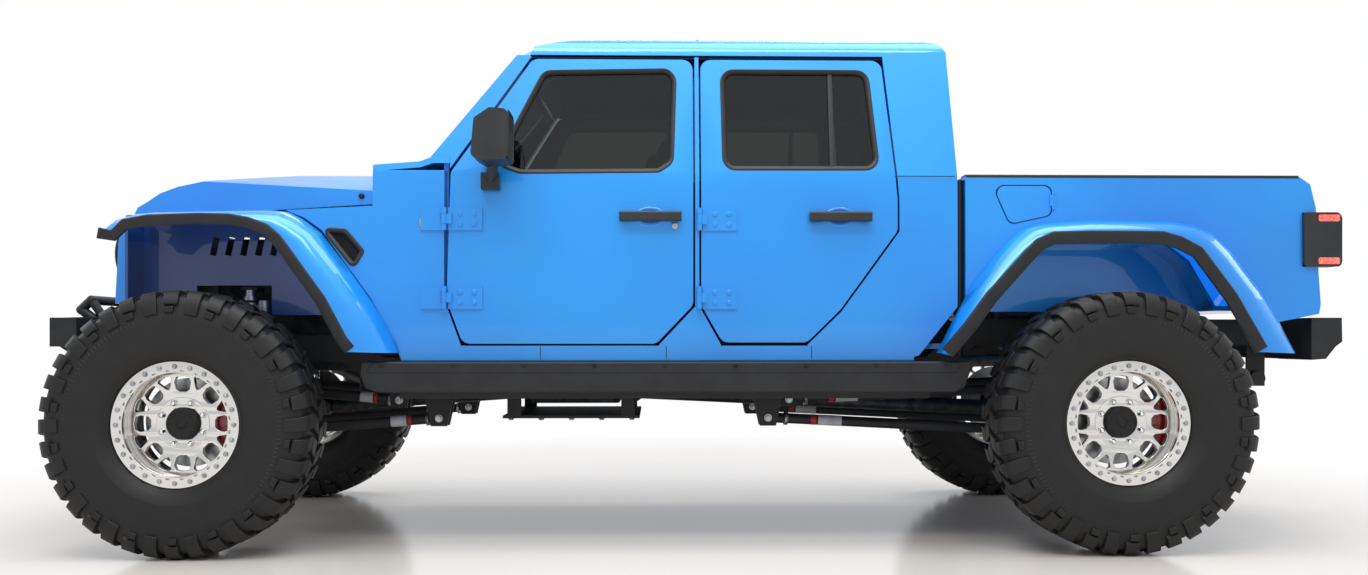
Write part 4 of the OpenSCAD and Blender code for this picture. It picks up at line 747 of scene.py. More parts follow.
def hullOf(nodeName):  # the outline of a node seen from the side, anticlockwise, in millimetres
    spots = sorted({(round(v.co.x / mm, 1), round(v.co.z / mm, 1)) for v in nodes[nodeName].data.vertices})
    outline = []
    for order in (spots, spots[::-1]):
        run = []
        for p in order:
            while len(run) > 1 and (run[-1][0] - run[-2][0]) * (p[1] - run[-2][1]) <= \
                    (run[-1][1] - run[-2][1]) * (p[0] - run[-2][0]):
                run.pop()
            run.append(p)
        outline += run[:-1]
    return outline


def spread(path, gap, closed=True):  # the same path with points no further apart than the gap
    out = []
    ends = list(zip(path, path[1:] + path[:1])) if closed else list(zip(path, path[1:]))
    for a, b in ends:
        a, b = Vector(a), Vector(b)
        count = max(1, int((b - a).length / gap))
        out += [tuple(a.lerp(b, i / count)) for i in range(count)]
    return out if closed else out + [tuple(path[-1])]


def sideStrip(bm, path, section, side, closed=True, skin=skinOut):
    # a moulding along a path of (x, z); its section is (away from the path, out from the skin)
    rings = []
    count = len(path)
    for i, (x, z) in enumerate(path):
        before = path[i - 1] if closed or i else path[0]
        after = path[(i + 1) % count] if closed or i < count - 1 else path[-1]
        way = Vector((after[0] - before[0], after[1] - before[1])).normalized()
        rings.append([spot(x + way.y * away, side * (skin(z) + out), z - way.x * away)
                      for away, out in section])
    addRings(bm, rings, joined=closed, capped=not closed)


def grown(path, by):  # a closed path moved outwards
    out = []
    for i, (x, z) in enumerate(path):
        before, after = path[i - 1], path[(i + 1) % len(path)]
        way = Vector((after[0] - before[0], after[1] - before[1])).normalized()
        out.append((x + way.y * by, z - way.x * by))
    return out


def roundedPath(points, radius, steps=5):
    return [(p.x, p.z) for p in arcThrough([Vector((x, 0, z)) for x, z in points], radius, steps)]


def clipLine(outline, point, way):  # the stretch of a line inside a convex outline
    low, high = -1e9, 1e9
    for a, b in zip(outline, outline[1:] + outline[:1]):
        nx, nz = b[1] - a[1], a[0] - b[0]
        reach = (a[0] - point[0]) * nx + (a[1] - point[1]) * nz
        rate = way[0] * nx + way[1] * nz
        if abs(rate) < 1e-9:
            continue
        if rate > 0:
            high = min(high, reach / rate)
        else:
            low = max(low, reach / rate)
    return (low, high) if high > low else None


def trimPiece(name, body, material, build, radius=0, segments=2, angle=40):
    piece = addPiece(name, meshOf(name, build), body, material)
    easeEdges(piece, radius, segments, angle)
    return piece


# door furniture: heights and places in the row's frame, millimetres
doorSet = dict(
    seal=[(-12, -15), (-10, -8), (-2, 2.5), (8, 3), (9.5, 0.2), (2, -5), (-2, -15)],
    handles={"front": (-282, -45), "rear": (473, 712)}, handleZ=(1300, 1334), handleOut=(14, 37),
    cup=(58, 36), lock=(-66, 1281), divider=565,
    leads={"front": -978, "rear": 31}, hingeZ=((950, 1039), (1261, 1350)),
)


def buildSeal(nodeName, side):
    path = spread(hullOf(nodeName), 60)
    return lambda bm: sideStrip(bm, path, doorSet["seal"], side)


def buildHandle(end, side):
    x0, x1 = doorSet["handles"][end]
    z0, z1 = doorSet["handleZ"]
    inner, outer = doorSet["handleOut"]

    def build(bm):
        # the pull, fuller in the middle, and its two feet
        rings = []
        for t in (0, 0.03, 0.1, 0.3, 0.5, 0.7, 0.9, 0.97, 1):
            x = x0 - 5 + (x1 - x0 + 10) * t
            full = 1 - 0.25 * abs(2 * t - 1) ** 6
            h, w = (z1 - z0 + 6) / 2, (outer - inner) / 2 * full
            zc, yc = (z0 + z1) / 2, skinOut(z0) + (inner + outer) / 2 + 5
            rings.append([spot(x, side * (yc + v), zc + u) for u, v in boxSection(2 * h, 2 * w, 5)])
        addRings(bm, rings)
        for x in (x0 + 2, x1 - 40):
            y = sorted(side * (skinOut(z0) + v) for v in (-3, 24))
            addBlock(bm, spot(x, y[0], z0 + 1), spot(x + 38, y[1], z1 - 1))
    return build


def buildCup(end, side):  # the finger recess behind a handle: a rim round a darker dish, painted shade for the recess
    x0, x1 = doorSet["handles"][end]
    cx, cz = (x0 + x1) / 2, sum(doorSet["handleZ"]) / 2
    a, b = doorSet["cup"]
    path = [(cx + a * math.cos(math.tau * i / 40), cz + b * math.sin(math.tau * i / 40)) for i in range(40)]
    return lambda bm: sideStrip(bm, path, [(-9, 0.2), (-5, 1.6), (0, 2.0), (3, 1.2), (4, -1), (-9, -1)], side)


# the dish: a thin plate of darker enamel just proud of the skin, painted shade where the recess lies
def buildShadeDish(end, side):
    x0, x1 = doorSet["handles"][end]
    cx, cz = (x0 + x1) / 2, sum(doorSet["handleZ"]) / 2
    a, b = doorSet["cup"]

    def build(bm):
        rings = [[onSide(cx + a * k * u, cz + b * k * v, out, side) for u, v in roundSection(1, 40)]
                 for k, out in ((0.92, 0.9), (0.7, 0.5), (0.1, 0.4), (0.05, -0.5), (0.9, -0.5))]
        addRings(bm, rings, joined=True)
    return build


for end in ("front", "rear"):
    for sideName, side in sides.items():
        corner = end + "_" + sideName
        door = "door_" + corner
        trimPiece("windowSeal_" + corner, door, extra["sealRubber"],
                  buildSeal("glass_" + corner, side), 0)
        trimPiece("handle_" + corner, door, finish["mirror_plastic"], buildHandle(end, side), 2)
        trimPiece("handleRim_" + corner, door, finish["body_paint"], buildCup(end, side), 0)
        trimPiece("handleShadeDish_" + corner, door, finish["inner_paint"], buildShadeDish(end, side), 0)

        def buildHingeBolts(bm, end=end, side=side):
            lead = doorSet["leads"][end]
            for z0, z1 in doorSet["hingeZ"]:
                for x in (lead + 62, lead + 118):
                    for z in (z0 + 24, z1 - 24):
                        addBolt(bm, onSide(x, z, 6.5, side), (0, side, 0), 15 * mm, 4 * mm)
        trimPiece("hingeBolts_" + corner, door, finish["body_paint"], buildHingeBolts, 0.6)
    print("door trim:", end)


def buildLock(bm, side=-1):
    x, z = doorSet["lock"]
    drumOf(bm, onSide(x, z, -1, side), (0, side, 0), (13, 13, 11, 8, 0.5),
            (0, 4, 5.5, 5.5, 4.5), 24)


for sideName, side in sides.items():
    corner = "front_" + sideName
    trimPiece("doorLock_" + corner, "door_" + corner, extra["zinc"],
              lambda bm, side=side: buildLock(bm, side), 0)
    rearGlass = hullOf("glass_rear_" + sideName)

    def buildDivider(bm, side=side, rearGlass=rearGlass):
        low, high = clipLine(rearGlass, (doorSet["divider"], 1700), (0, 1))
        section = ((-11, -15), (-11, -9), (-7, -7), (7, -7), (11, -9), (11, -15))
        rings = [[onSide(doorSet["divider"] + dx, 1700 + t, out, side) for dx, out in section]
                 for t in (low - 6, high + 6)]
        addRings(bm, rings)
    trimPiece("windowPost_" + sideName, "door_rear_" + sideName, extra["sealRubber"],
              buildDivider, 0)


# lines and gaps of the body
bodyLines = dict(
    lip=[(-6, -14), (-7, 4), (30, 4), (36, 1), (36, -14)],
    rearLip=[(-6, -14), (-7, 4), (38, 4), (44, 1), (44, -14)],
    railCap=[(1099, 1484), (2448, 1484)], roofSeam=29, sillSeams=(-600, -100, 480),
)


def lipOf(nodeName):  # the free edge of a flare, read from its outermost points, from front to rear
    reach = max(abs(v.co.y) for v in nodes[nodeName].data.vertices)
    spots = {(round(v.co.x / mm, 1), round(v.co.z / mm, 1)) for v in nodes[nodeName].data.vertices
             if abs(v.co.y) > reach - 0.002 and v.co.y < 0}
    centre = (sum(p[0] for p in spots) / len(spots), min(p[1] for p in spots))
    return sorted(spots, key=lambda p: -math.atan2(p[1] - centre[1], p[0] - centre[0])), reach / mm


for end in ("front", "rear"):
    lipPath, lipOut = lipOf(end + "_fenders")
    for sideName, side in sides.items():
        section = bodyLines["rearLip" if end == "rear" else "lip"]
        trimPiece("flareLip_" + end + "_" + sideName, "chassis", finish["black_coat"],
                  lambda bm, side=side: sideStrip(bm, lipPath, [(-a, o) for a, o in section], side, False,
                                                  lambda z: lipOut), 0)


def gapSeal(name, path, section, side, closed=False):
    trimPiece(name, "chassis", extra["sealRubber"],
              lambda bm: sideStrip(bm, path, section, side, closed))


for sideName, side in sides.items():
    # the roof gutter over the doors, with its rubber behind
    gutter = [(-640, 1974), (-300, 1974), (100, 1974), (500, 1974), (790, 1974)]
    gapSeal("gutterRubber_" + sideName, gutter, [(-7, -46), (-7, -12), (7, -12), (7, -46)], side)
    # a black strip set into the gap between the cab and the bed: painted shade for the dark gap
    gapSeal("bedGapShade_" + sideName, [(1081, 760), (1081, 1100), (1081, 1470)],
            [(-15, -60), (-15, -24), (15, -24), (15, -60)], side)
    gapSeal("railCap_" + sideName, bodyLines["railCap"], [(-3, -74), (-6, -70), (-6, -4), (-4, 1.5), (6, 1.5),
                                                         (6, -1), (0, -2), (0, -74)], side)
    # the hardtop's seam across the roof and down its quarter
    gapSeal("quarterSeam_" + sideName, [(812, 1482), (930, 1482), (1056, 1482)],
            [(-1.6, -6), (-1.6, 0.5), (1.6, 0.5), (1.6, -6)], side)
    # swage line of the sill, with its three joints
    for i, x in enumerate(bodyLines["sillSeams"]):
        gapSeal("sillJoint_%d_" % i + sideName, [(x, 751), (x, 780), (x, 803)],
                [(-1.2, -6), (-1.2, 0.5), (1.2, 0.5), (1.2, -6)], side)


def buildRoofSeam(bm):
    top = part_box("hardtop")[1].z
    path = [Vector((bodyLines["roofSeam"] * mm, y * mm, top - 0.0005)) for y in range(-640, 641, 80)]
    sweep(bm, path, [(-0.002, -0.004), (-0.002, 0.0009), (0.002, 0.0009), (0.002, -0.004)])


trimPiece("roofSeam", "chassis", extra["sealRubber"], buildRoofSeam)

# fender vents: a black moulded frame round a mesh of bars
ventSet = dict(outline=[(-1456, 1266), (-1368, 1260), (-1299, 1178), (-1337, 1115)], bars=11, barSize=2.4)
ventPath = roundedPath(ventSet["outline"][::-1], 18)


def buildVentFrame(bm, side):
    sideStrip(bm, ventPath, [(-15, -16), (-14, -6), (-6, 3.5), (4, 4.5), (7, 2), (7, -4), (-8, -16)], side)


def buildVentMesh(bm, side):
    for way in ((1, 0.55), (0.55, -1)):
        length = math.hypot(*way)
        way = (way[0] / length, way[1] / length)
        for i in range(-ventSet["bars"], ventSet["bars"] + 1):
            point = (-1365 - way[1] * i * 13, 1205 + way[0] * i * 13)
            stretch = clipLine(ventPath, point, way)
            if not stretch or stretch[1] - stretch[0] < 12:
                continue
            ends = [(point[0] + way[0] * (t + e), point[1] + way[1] * (t + e)) for t, e in zip(stretch, (4, -4))]
            section = boxSection(ventSet["barSize"] * mm, 3 * mm, 0.6 * mm)
            sweep(bm, [onSide(x, z, -9, side) for x, z in ends], section)


# a matt black plate closing the vent 17 to 20 mm behind the skin: painted shade for the dark inside of the vent
def buildVentShadePlate(bm, side):
    rings = [[onSide(x, z, out, side) for x, z in ventPath] for out in (-20, -17)]
    addRings(bm, rings)


badgeSet = dict(place=(-1048, 1292), radius=30)


def buildBadge(bm, side):
    x, z = badgeSet["place"]
    r = badgeSet["radius"]
    drumOf(bm, onSide(x, z, -2, side), (0, side, 0), (r, r, r * 0.94, r * 0.86, r * 0.84, r * 0.1),
           (0, 5, 6.4, 6.4, 4.6, 5.2), 40)


# hood catches beside the hood's rear edge
catchSet = dict(place=(-1318, 1402), out=745)


def buildCatch(bm, side):
    x, z = catchSet["place"]
    drumOf(bm, spot(x, side * catchSet["out"], z), (0, side, 0.1), (11, 11, 9, 4), (-6, 4, 7, 8), 24)


for sideName, side in sides.items():
    for label, material, slotName, build in (
            ("ventFrame_", finish["mirror_plastic"], "mirror_plastic", buildVentFrame),
            ("ventMesh_", extra["blackOxide"], "mirror_plastic", buildVentMesh),
            ("ventShadePlate_", extra["mattBlack"], "mirror_plastic", buildVentShadePlate),
            ("blankDisc_", extra["reservoir"], "damper_alloy", buildBadge),
            ("hoodCatch_", extra["mattBlack"], "mirror_plastic", buildCatch)):
        trimPiece(label + sideName, "hood" if label == "hoodCatch_" else "chassis", material,
                  lambda bm, build=build, side=side: build(bm, side))
print("body lines, vents and discs fitted")


# door mirrors: silvered glass in the shell's rear face, with a rim
mirrorSet = dict(faceX=-699, y=(884, 1050), z=(1516, 1688))


def mirrorOutline(grow):
    (y0, y1), (z0, z1) = mirrorSet["y"], mirrorSet["z"]
    return roundedPath([(y0 - grow, z0 - grow), (y1 + grow, z0 - grow), (y1 + grow, z1 + grow),
                        (y0 - grow, z1 + grow)], 30)


for sideName, side in sides.items():
    def buildMirror(bm, side=side):
        rings = [[spot(mirrorSet["faceX"] + out, side * y, z) for y, z in mirrorOutline(grow)]
                 for grow, out in ((-2, -2), (-2, 1.5), (-4, 2))]
        addRings(bm, rings)

    def buildMirrorRim(bm, side=side):
        rings = [[spot(mirrorSet["faceX"] + out, side * y, z) for y, z in mirrorOutline(grow)]
                 for grow, out in ((0, -2), (0, 3), (5, 4), (9, 1), (9, -2))]
        addRings(bm, rings, joined=True)
    body = "door_front_" + sideName
    trimPiece("mirrorGlass_" + sideName, body, extra["silverMirror"], buildMirror)
    trimPiece("mirrorRim_" + sideName, body, finish["mirror_plastic"], buildMirrorRim)


# lamps and nose: every round lamp is a bowl, a lens and a ring, turned about the x axis
noseSet = dict(lampY=515, lampZ=1180, lampR=92, markerZ=1030, markerR=40, faceX=-2342,
               slatX=-2268, meshHalf=372, meshZ=(1040, 1290), meshStep=14)


# a closed (x, radius) profile in millimetres, turned about an x axis
def latheX(bm, centre, profile, steps=48):
    rings = []
    for i in range(steps):
        a = math.tau * i / steps
        rings.append([spot(centre[0] + x, centre[1] + r * math.cos(a), centre[2] + r * math.sin(a))
                      for x, r in profile])
    addRings(bm, rings, joined=True)


def lampParts(name, y, z, r, amber=False):
    x = noseSet["faceX"]
    lens = [(-2 - 9 * math.cos(math.pi / 2 * t), max((r - 4) * t, 0.3))
            for t in (1, 0.85, 0.65, 0.4, 0.15, 0)]
    back = [(px + 3, pr) for px, pr in reversed(lens)]
    parts = [
        ("lens", extra["amber"] if amber else finish["lamp_lens"], lens + back),
        ("ring", extra["mattBlack"],
         [(-8, r - 3), (-9, r + 4), (-5, r + 8), (20, r + 8), (20, r - 1), (-2, r - 4)]),
        ("bowl", extra["silverMirror"],
         [(0, r - 5), (18, r * 0.8), (34, r * 0.5), (40, 0.3), (44, 0.3), (38, r * 0.55),
          (22, r * 0.85), (3, r - 2)]),
    ]
    if r > 60:
        parts.append(("projector", extra["blackOxide"], [(8, 34), (4, 38), (30, 40), (30, 30), (12, 30)]))
        parts.append(("projectorLens", finish["lamp_lens"],
                      [(2, 0.3), (5, 18), (12, 29), (16, 29), (16, 0.3)]))
    for label, material, profile in parts:
        trimPiece(name + "_" + label, "chassis", material,
                  lambda bm, profile=profile: latheX(bm, (x, y, z), profile))


for sideName, side in sides.items():
    lampParts("headlamp_" + sideName, side * noseSet["lampY"], noseSet["lampZ"], noseSet["lampR"])
    lampParts("marker_" + sideName, side * noseSet["lampY"], noseSet["markerZ"], noseSet["markerR"], True)
nodes["headlights"].data.materials.clear()
nodes["headlights"].data.materials.append(extra["silverMirror"])
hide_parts("headlights")


def buildGrilleMesh(bm):
    half, (z0, z1), step = noseSet["meshHalf"], noseSet["meshZ"], noseSet["meshStep"]
    for z in range(z0, z1, step):
        blockOf(bm, (noseSet["slatX"], -half, z), (noseSet["slatX"] + 3, half, z + 3))
    for y in range(-half, half, step):
        blockOf(bm, (noseSet["slatX"] + 3, y, z0), (noseSet["slatX"] + 6, y + 3, z1))


def buildRadiator(bm):
    blockOf(bm, (-2220, -380, 1000), (-2180, 380, 1310))
    for z in range(1006, 1306, 10):
        blockOf(bm, (-2226, -372, z), (-2219, 372, z + 3))


trimPiece("grilleMesh", "chassis", extra["mattBlack"], buildGrilleMesh)
trimPiece("radiator", "chassis", extra["blackOxide"], buildRadiator)


# front bumper: fairlead, winch with rope, hooks and pod lamps
frontBumper = dict(hookY=270, podY=(390, 470), podZ=(838, 872), drumX=-2585, drumZ=863)


def buildFairlead(bm):
    outer = [(y, z) for y, z in roundedPath([(-150, 833), (150, 833), (150, 893), (-150, 893)], 20)]
    inner = [(y, z) for y, z in roundedPath([(-95, 851), (95, 851), (95, 875), (-95, 875)], 11)]
    path = lambda ring, x: [spot(x, y, z) for y, z in ring]
    rings = [path(outer, -2656), path(outer, -2668), path(inner, -2668), path(inner, -2656)]
    addRings(bm, rings, joined=True)


def buildWinch(bm):
    x, z = frontBumper["drumX"], frontBumper["drumZ"]
    drumOf(bm, spot(x, -120, z), (0, 1, 0), (48, 48, 34, 34, 48, 48), (0, 8, 8, 232, 232, 240), 32)
    for i in range(19):  # rope turns on the drum
        drumOf(bm, spot(x, -110 + 12 * i, z), (0, 1, 0), (34, 40, 40, 34), (0, 3, 8, 11.5), 24)


def buildHooks(bm):
    for side in (-1, 1):
        y = side * frontBumper["hookY"]
        path = arcThrough([spot(-2625, y, 812), spot(-2660, y, 812), spot(-2660, y, 862),
                           spot(-2630, y, 862)], 22 * mm, 5, False)
        sweep(bm, path, roundSection(9 * mm, 12), up=Vector((0, 1, 0)))


def buildPods(bm):
    for side in (-1, 1):
        y0, y1 = (side * y for y in frontBumper["podY"])
        for z in frontBumper["podZ"]:
            blockOf(bm, (-2664, y0, z - 13), (-2640, y1, z + 13))


trimPiece("fairlead", "chassis", extra["blackOxide"], buildFairlead, 2)
trimPiece("winch", "chassis", extra["reservoir"], buildWinch)
trimPiece("towHooks", "chassis", finish["black_coat"], buildHooks)
trimPiece("podLamps", "chassis", extra["arrayLens"], buildPods, 3)


# hood: the louvres of its vents
hoodSet = dict(ventX=(-1820, -1590), ventY=(300, 420), louvres=7)


def buildLouvres(bm, side):
    x0, x1 = hoodSet["ventX"]
    y0, y1 = sorted((side * (hoodSet["ventY"][0] - 6), side * (hoodSet["ventY"][1] + 6)))
    for i in range(hoodSet["louvres"]):
        x = x0 + (x1 - x0) * (i + 0.5) / hoodSet["louvres"]
        z = 1468 + (x - x0) * 0.085
        turn = Matrix.Translation(spot(x, 0, z)) @ Matrix.Rotation(math.radians(-28), 4, "Y")
        addBlock(bm, spot(-15, y0, -1.5), spot(15, y1, 1.5), turn)


for sideName, side in sides.items():
    trimPiece("hoodLouvres_" + sideName, "hood", extra["mattBlack"],
              lambda bm, side=side: buildLouvres(bm, side))
print("lamps, grille, front bumper and hood fitted")


# rear lamps: black housings with lit red bands round a plain lens, and the tail's details
tailSet = dict(z=(1122, 1340), band=26)


def buildTailBand(bm, side):
    z0, z1 = tailSet["z"]
    for low, high in ((z0 + 10, z0 + 10 + tailSet["band"]), (z1 - 10 - tailSet["band"], z1 - 10)):
        corners = roundedPath([(2520, low), (2606, low), (2606, high), (2520, high)], 8)
        rings = [[spot(x, side * y, z) for x, z in corners] for y in (770, 817.5)]
        addRings(bm, rings)
        blockOf(bm, (2600, side * 742, low), (2617.5, side * 812, high))


def buildTailFace(bm, side):
    z0, z1 = tailSet["z"]
    blockOf(bm, (2608, side * 744, z0 + 44), (2617.5, side * 808, z1 - 44))


def buildGateTrim(bm):
    # a ledge under the latch, and the pressed panel's edge
    blockOf(bm, (2532, -156, 1310), (2537.5, 156, 1316))
    ring = lambda grow, x: [spot(x, y, z) for y, z in
                            roundedPath([(-600 - grow, 1040 - grow), (600 + grow, 1040 - grow),
                                         (600 + grow, 1290 + grow), (-600 - grow, 1290 + grow)], 40)]
    addRings(bm, [ring(6, 2533), ring(4, 2537.5), ring(-4, 2537.5), ring(-6, 2533)], joined=True)


def buildPlate(bm):
    outline = roundedPath([(-152, 790), (152, 790), (152, 868), (-152, 868)], 10)
    addRings(bm, [[spot(x, y, z) for y, z in outline] for x in (2668, 2670.5)])


def buildPlateBolts(bm):
    for y in (-125, 125):
        for z in (800, 858):
            addBolt(bm, spot(2670.5, y, z), (1, 0, 0), 9 * mm, 1.5 * mm, False)


for sideName, side in sides.items():
    trimPiece("tailBands_" + sideName, "chassis", finish["tail_lens"],
              lambda bm, side=side: buildTailBand(bm, side), 2)
    trimPiece("tailFace_" + sideName, "chassis", extra["arrayLens"],
              lambda bm, side=side: buildTailFace(bm, side), 2)
trimPiece("gatePressing", "tailgate", finish["body_paint"], buildGateTrim, 0)
trimPiece("blankPlate", "chassis", extra["reservoir"], buildPlate, 0)
trimPiece("plateBolts", "chassis", extra["zinc"], buildPlateBolts, 0)
print("tail fitted")


# underbody: coil springs, red calipers, bands on the shocks, stripes, bushes and bolts
coilSet = dict(y=525, radius=56, wire=8.5, turns=7.5, low=572, highs={"front": 943, "rear": 927})
for end, axleX in (("front", frontX), ("rear", rearX)):
    def buildCoil(bm, end=end):
        low, high, r = coilSet["low"], coilSet["highs"][end], coilSet["radius"]
        count = int(coilSet["turns"] * 24)
        path = []
        for i in range(count + 1):
            t = i / count
            # the end turns lie closer, as a ground coil's do
            rise = t + 0.035 * math.sin(math.tau * (t - 0.5))
            a = math.tau * coilSet["turns"] * t
            path.append(spot(r * math.cos(a), r * math.sin(a), low + 9 + (high - low - 18) * rise))
        sweep(bm, path, roundSection(coilSet["wire"] * mm, 10))
    coilMesh = meshOf("coil_" + end, buildCoil)
    for sideName, side in sides.items():
        coil = addPiece("coil_" + end + "_" + sideName, coilMesh, "chassis",
                        None if coilMesh.materials else finish["coil_paint"],
                        Matrix.Translation((axleX, side * coilSet["y"] * mm, 0)))
        easeEdges(coil, 0)
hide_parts("coil_springs")

caliperSet = dict(radii=(108, 202), x=109, half=82, plates=((794, 830), (871, 901)), bridge=(181, 202.5))


def arcOutline(low, high, x, half):  # the stretch of a ring behind x and within a half height
    top = [(high * math.cos(a), high * math.sin(a)) for a in (math.radians(d) for d in range(-24, 25, 4))]
    inner = [(math.sqrt(max(low ** 2 - z ** 2, x ** 2)), z) for z in (half, half / 2, 0, -half / 2, -half)]
    return [(p, max(min(q, half), -half)) for p, q in top] + inner


def buildCaliper(bm, axleX, side):
    for y0, y1 in caliperSet["plates"]:
        outline = arcOutline(*caliperSet["radii"], caliperSet["x"], caliperSet["half"])
        ys = sorted((side * y0, side * y1))
        addRings(bm, [[spot(axleX / mm + x, y, axleZ / mm + z) for x, z in outline] for y in ys])
    outline = arcOutline(*caliperSet["bridge"], caliperSet["x"], 60)
    ys = sorted((side * 826, side * 875))
    addRings(bm, [[spot(axleX / mm + x, y, axleZ / mm + z) for x, z in outline] for y in ys])
    for z in (-40, 40):  # piston housings
        drumOf(bm, spot(axleX / mm + 152, side * 900, axleZ / mm + z), (0, side, 0),
                (26, 26, 22, 12), (-2, 4, 6, 7), 24)


for end, axleX in (("front", frontX), ("rear", rearX)):
    for sideName, side in sides.items():
        trimPiece("caliper_" + end + "_" + sideName, "knuckle_" + sideName if end == "front" else "chassis",
                  extra["caliperRed"], lambda bm: buildCaliper(bm, axleX, side), 3)

shockSet = dict(y=514, footX=105, headX=118, footZ=478, heads={"front": 1008, "rear": 888},
                canX=176, canY=518, canLow=190)


def alongLine(a, b, t):
    return Vector(a) * (1 - t) + Vector(b) * t


def buildShockBands(bm, end, axleX, side):
    head = shockSet["heads"][end]
    foot = spot(axleX / mm + shockSet["footX"], side * shockSet["y"], shockSet["footZ"])
    top = spot(axleX / mm + shockSet["headX"], side * shockSet["y"], head)
    way = (top - foot).normalized()
    for t, r, h in ((0.5, 33, 16), (0.54, 31.5, 5), (0.95, 32, 10)):
        drumOf(bm, alongLine(foot, top, t), way, (r - 1, r, r, r - 1),
                (0, 1, h - 1, h), 28)
    canTop = head + 12 - 30
    for z in (canTop - 150, canTop - 60):
        centre = spot(axleX / mm + shockSet["canX"], side * shockSet["canY"], z)
        drumOf(bm, centre, (0, 0, 1), (28, 29, 29, 28), (0, 1, 13, 14), 28)


def buildShaft(bm, end, axleX, side):
    foot = spot(axleX / mm + shockSet["footX"], side * shockSet["y"], shockSet["footZ"])
    top = spot(axleX / mm + shockSet["headX"], side * shockSet["y"], shockSet["heads"][end])
    way = (top - foot).normalized()
    length = (top - foot).length
    addDrum(bm, foot, way, (15.6 * mm, 15.6 * mm), (0.06 * length, 0.5 * length), 24)


def buildFins(bm, end, axleX, side):  # cooling fins turned into the reservoir, and its end cap
    canTop = shockSet["heads"][end] - 18
    for i in range(9):
        centre = spot(axleX / mm + shockSet["canX"], side * shockSet["canY"], canTop - 132 + i * 8)
        drumOf(bm, centre, (0, 0, 1), (27, 28.6, 28.6, 27), (0, 0.8, 3.2, 4), 28)
    drumOf(bm, spot(axleX / mm + shockSet["canX"], side * shockSet["canY"], canTop - 190), (0, 0, -1),
           (27.5, 27.5, 24, 9, 8), (-16, 2, 5, 5, 8), 28)


armSet = dict(half=38.6, lower=((889, 494, 412.5), (58, 430, 440)),
              upper=((706, 567, 340), (20, 625, 355)))


def armEnds(kind, end, side):  # the two ends of a link, as points; rear links mirror the front ones
    (x0, z0, y0), (x1, z1, y1) = armSet[kind]
    if end == "rear":
        x0 = -1332 if kind == "lower" else -1235
        z0 = 494 if kind == "lower" else 569
        x1 = -x1
    base = (frontX if end == "front" else rearX) / mm
    return spot(base + x0, side * y0, z0), spot(base + x1, side * y1, z1)


def buildStripe(bm, end, side, spans, kinds=("lower", "upper")):
    for kind in kinds:
        a, b = armEnds(kind, end, side)
        for t0, t1 in spans:
            long = (b - a).length * (t1 - t0) / mm
            drumOf(bm, alongLine(a, b, t0), b - a, (22.2, 22.8, 22.8, 22.2), (0, 2, long - 2, long), 24)


def buildBushes(bm, end, side):
    for kind in ("lower", "upper"):
        for point in armEnds(kind, end, side):
            for way in (-1, 1):
                drumOf(bm, point + Vector((0, way * 26 * mm, 0)), (0, way, 0), (24, 24, 19),
                        (0, 1.6, 2.1), 28)


def buildArmBolts(bm, end, side):
    for kind in ("lower", "upper"):
        for point in armEnds(kind, end, side):
            for way in (-1, 1):
                addBolt(bm, point + Vector((0, way * armSet["half"] * mm, 0)), (0, way, 0), 22 * mm, 10 * mm)


def buildJamNuts(bm, end, side):
    for kind in ("lower", "upper"):
        a, b = armEnds(kind, end, side)
        for t in (0.062, 0.938):
            turn = Vector((0, 0, 1)).rotation_difference(b - a).to_matrix()
            rings = [[alongLine(a, b, t) + turn @ Vector((29 * mm * math.cos(math.tau * i / 6),
                                                          29 * mm * math.sin(math.tau * i / 6), z * mm))
                      for i in range(6)] for z in (-9, 9)]
            addRings(bm, rings)


for end, axleX in (("front", frontX), ("rear", rearX)):
    for sideName, side in sides.items():
        corner = end + "_" + sideName
        for label, material, slotName, build in (
                ("shockBands_", extra["mattBlack"], "damper_alloy",
                 lambda bm: buildShockBands(bm, end, axleX, side)),
                ("shockShaft_", extra["silverMirror"], "damper_alloy",
                 lambda bm: buildShaft(bm, end, axleX, side)),
                ("shockFins_", extra["reservoir"], "damper_alloy",
                 lambda bm: buildFins(bm, end, axleX, side)),
                ("armRedStripe_", extra["redSilk"], "black_coat",
                 lambda bm: buildStripe(bm, end, side, ((0.145, 0.165),))),
                ("armGreyStripe_", extra["greySilk"], "black_coat",
                 lambda bm: buildStripe(bm, end, side, ((0.17, 0.25),))),
                ("armBushes_", extra["caliperRed"], "black_coat", lambda bm: buildBushes(bm, end, side)),
                ("armNuts_", extra["zinc"], "damper_alloy", lambda bm: buildJamNuts(bm, end, side)),
                ("armBolts_", extra["zinc"], "damper_alloy", lambda bm: buildArmBolts(bm, end, side))):
            trimPiece(label + corner, "chassis", material, build, 0)
print("suspension dressed")


# axles, skid plate, sliders: covers, plates and bolts
axleSet = dict(boltR=103, bolts=12, frontDiffY=200)


def buildCover(bm, x, y, way):
    drumOf(bm, spot(x, y, axleZ / mm), (way, 0, 0), (112, 113, 108, 92, 60, 0.5),
            (60, 68, 76, 96, 112, 118), 40)


def buildCoverBolts(bm, x, y, way):
    for across, up in roundSection(axleSet["boltR"], axleSet["bolts"]):
        addBolt(bm, spot(x + way * 74, y + across, axleZ / mm + up), (way, 0, 0), 13 * mm)


sliderSet = dict(x=(-1270, 1060), out=880, bolts=9)


def buildSliderBand(bm, side):  # the bolted upper plate of the slider, standing 3 mm proud
    x0, x1 = sliderSet["x"]
    y = sorted((side * (sliderSet["out"] - 4), side * (sliderSet["out"] + 3)))
    outline = [(x0, 699), (x0 + 30, 738), (x1 - 4, 738), (x1 - 16, 699)]
    addRings(bm, [[spot(x, v, z) for x, z in outline] for v in y])


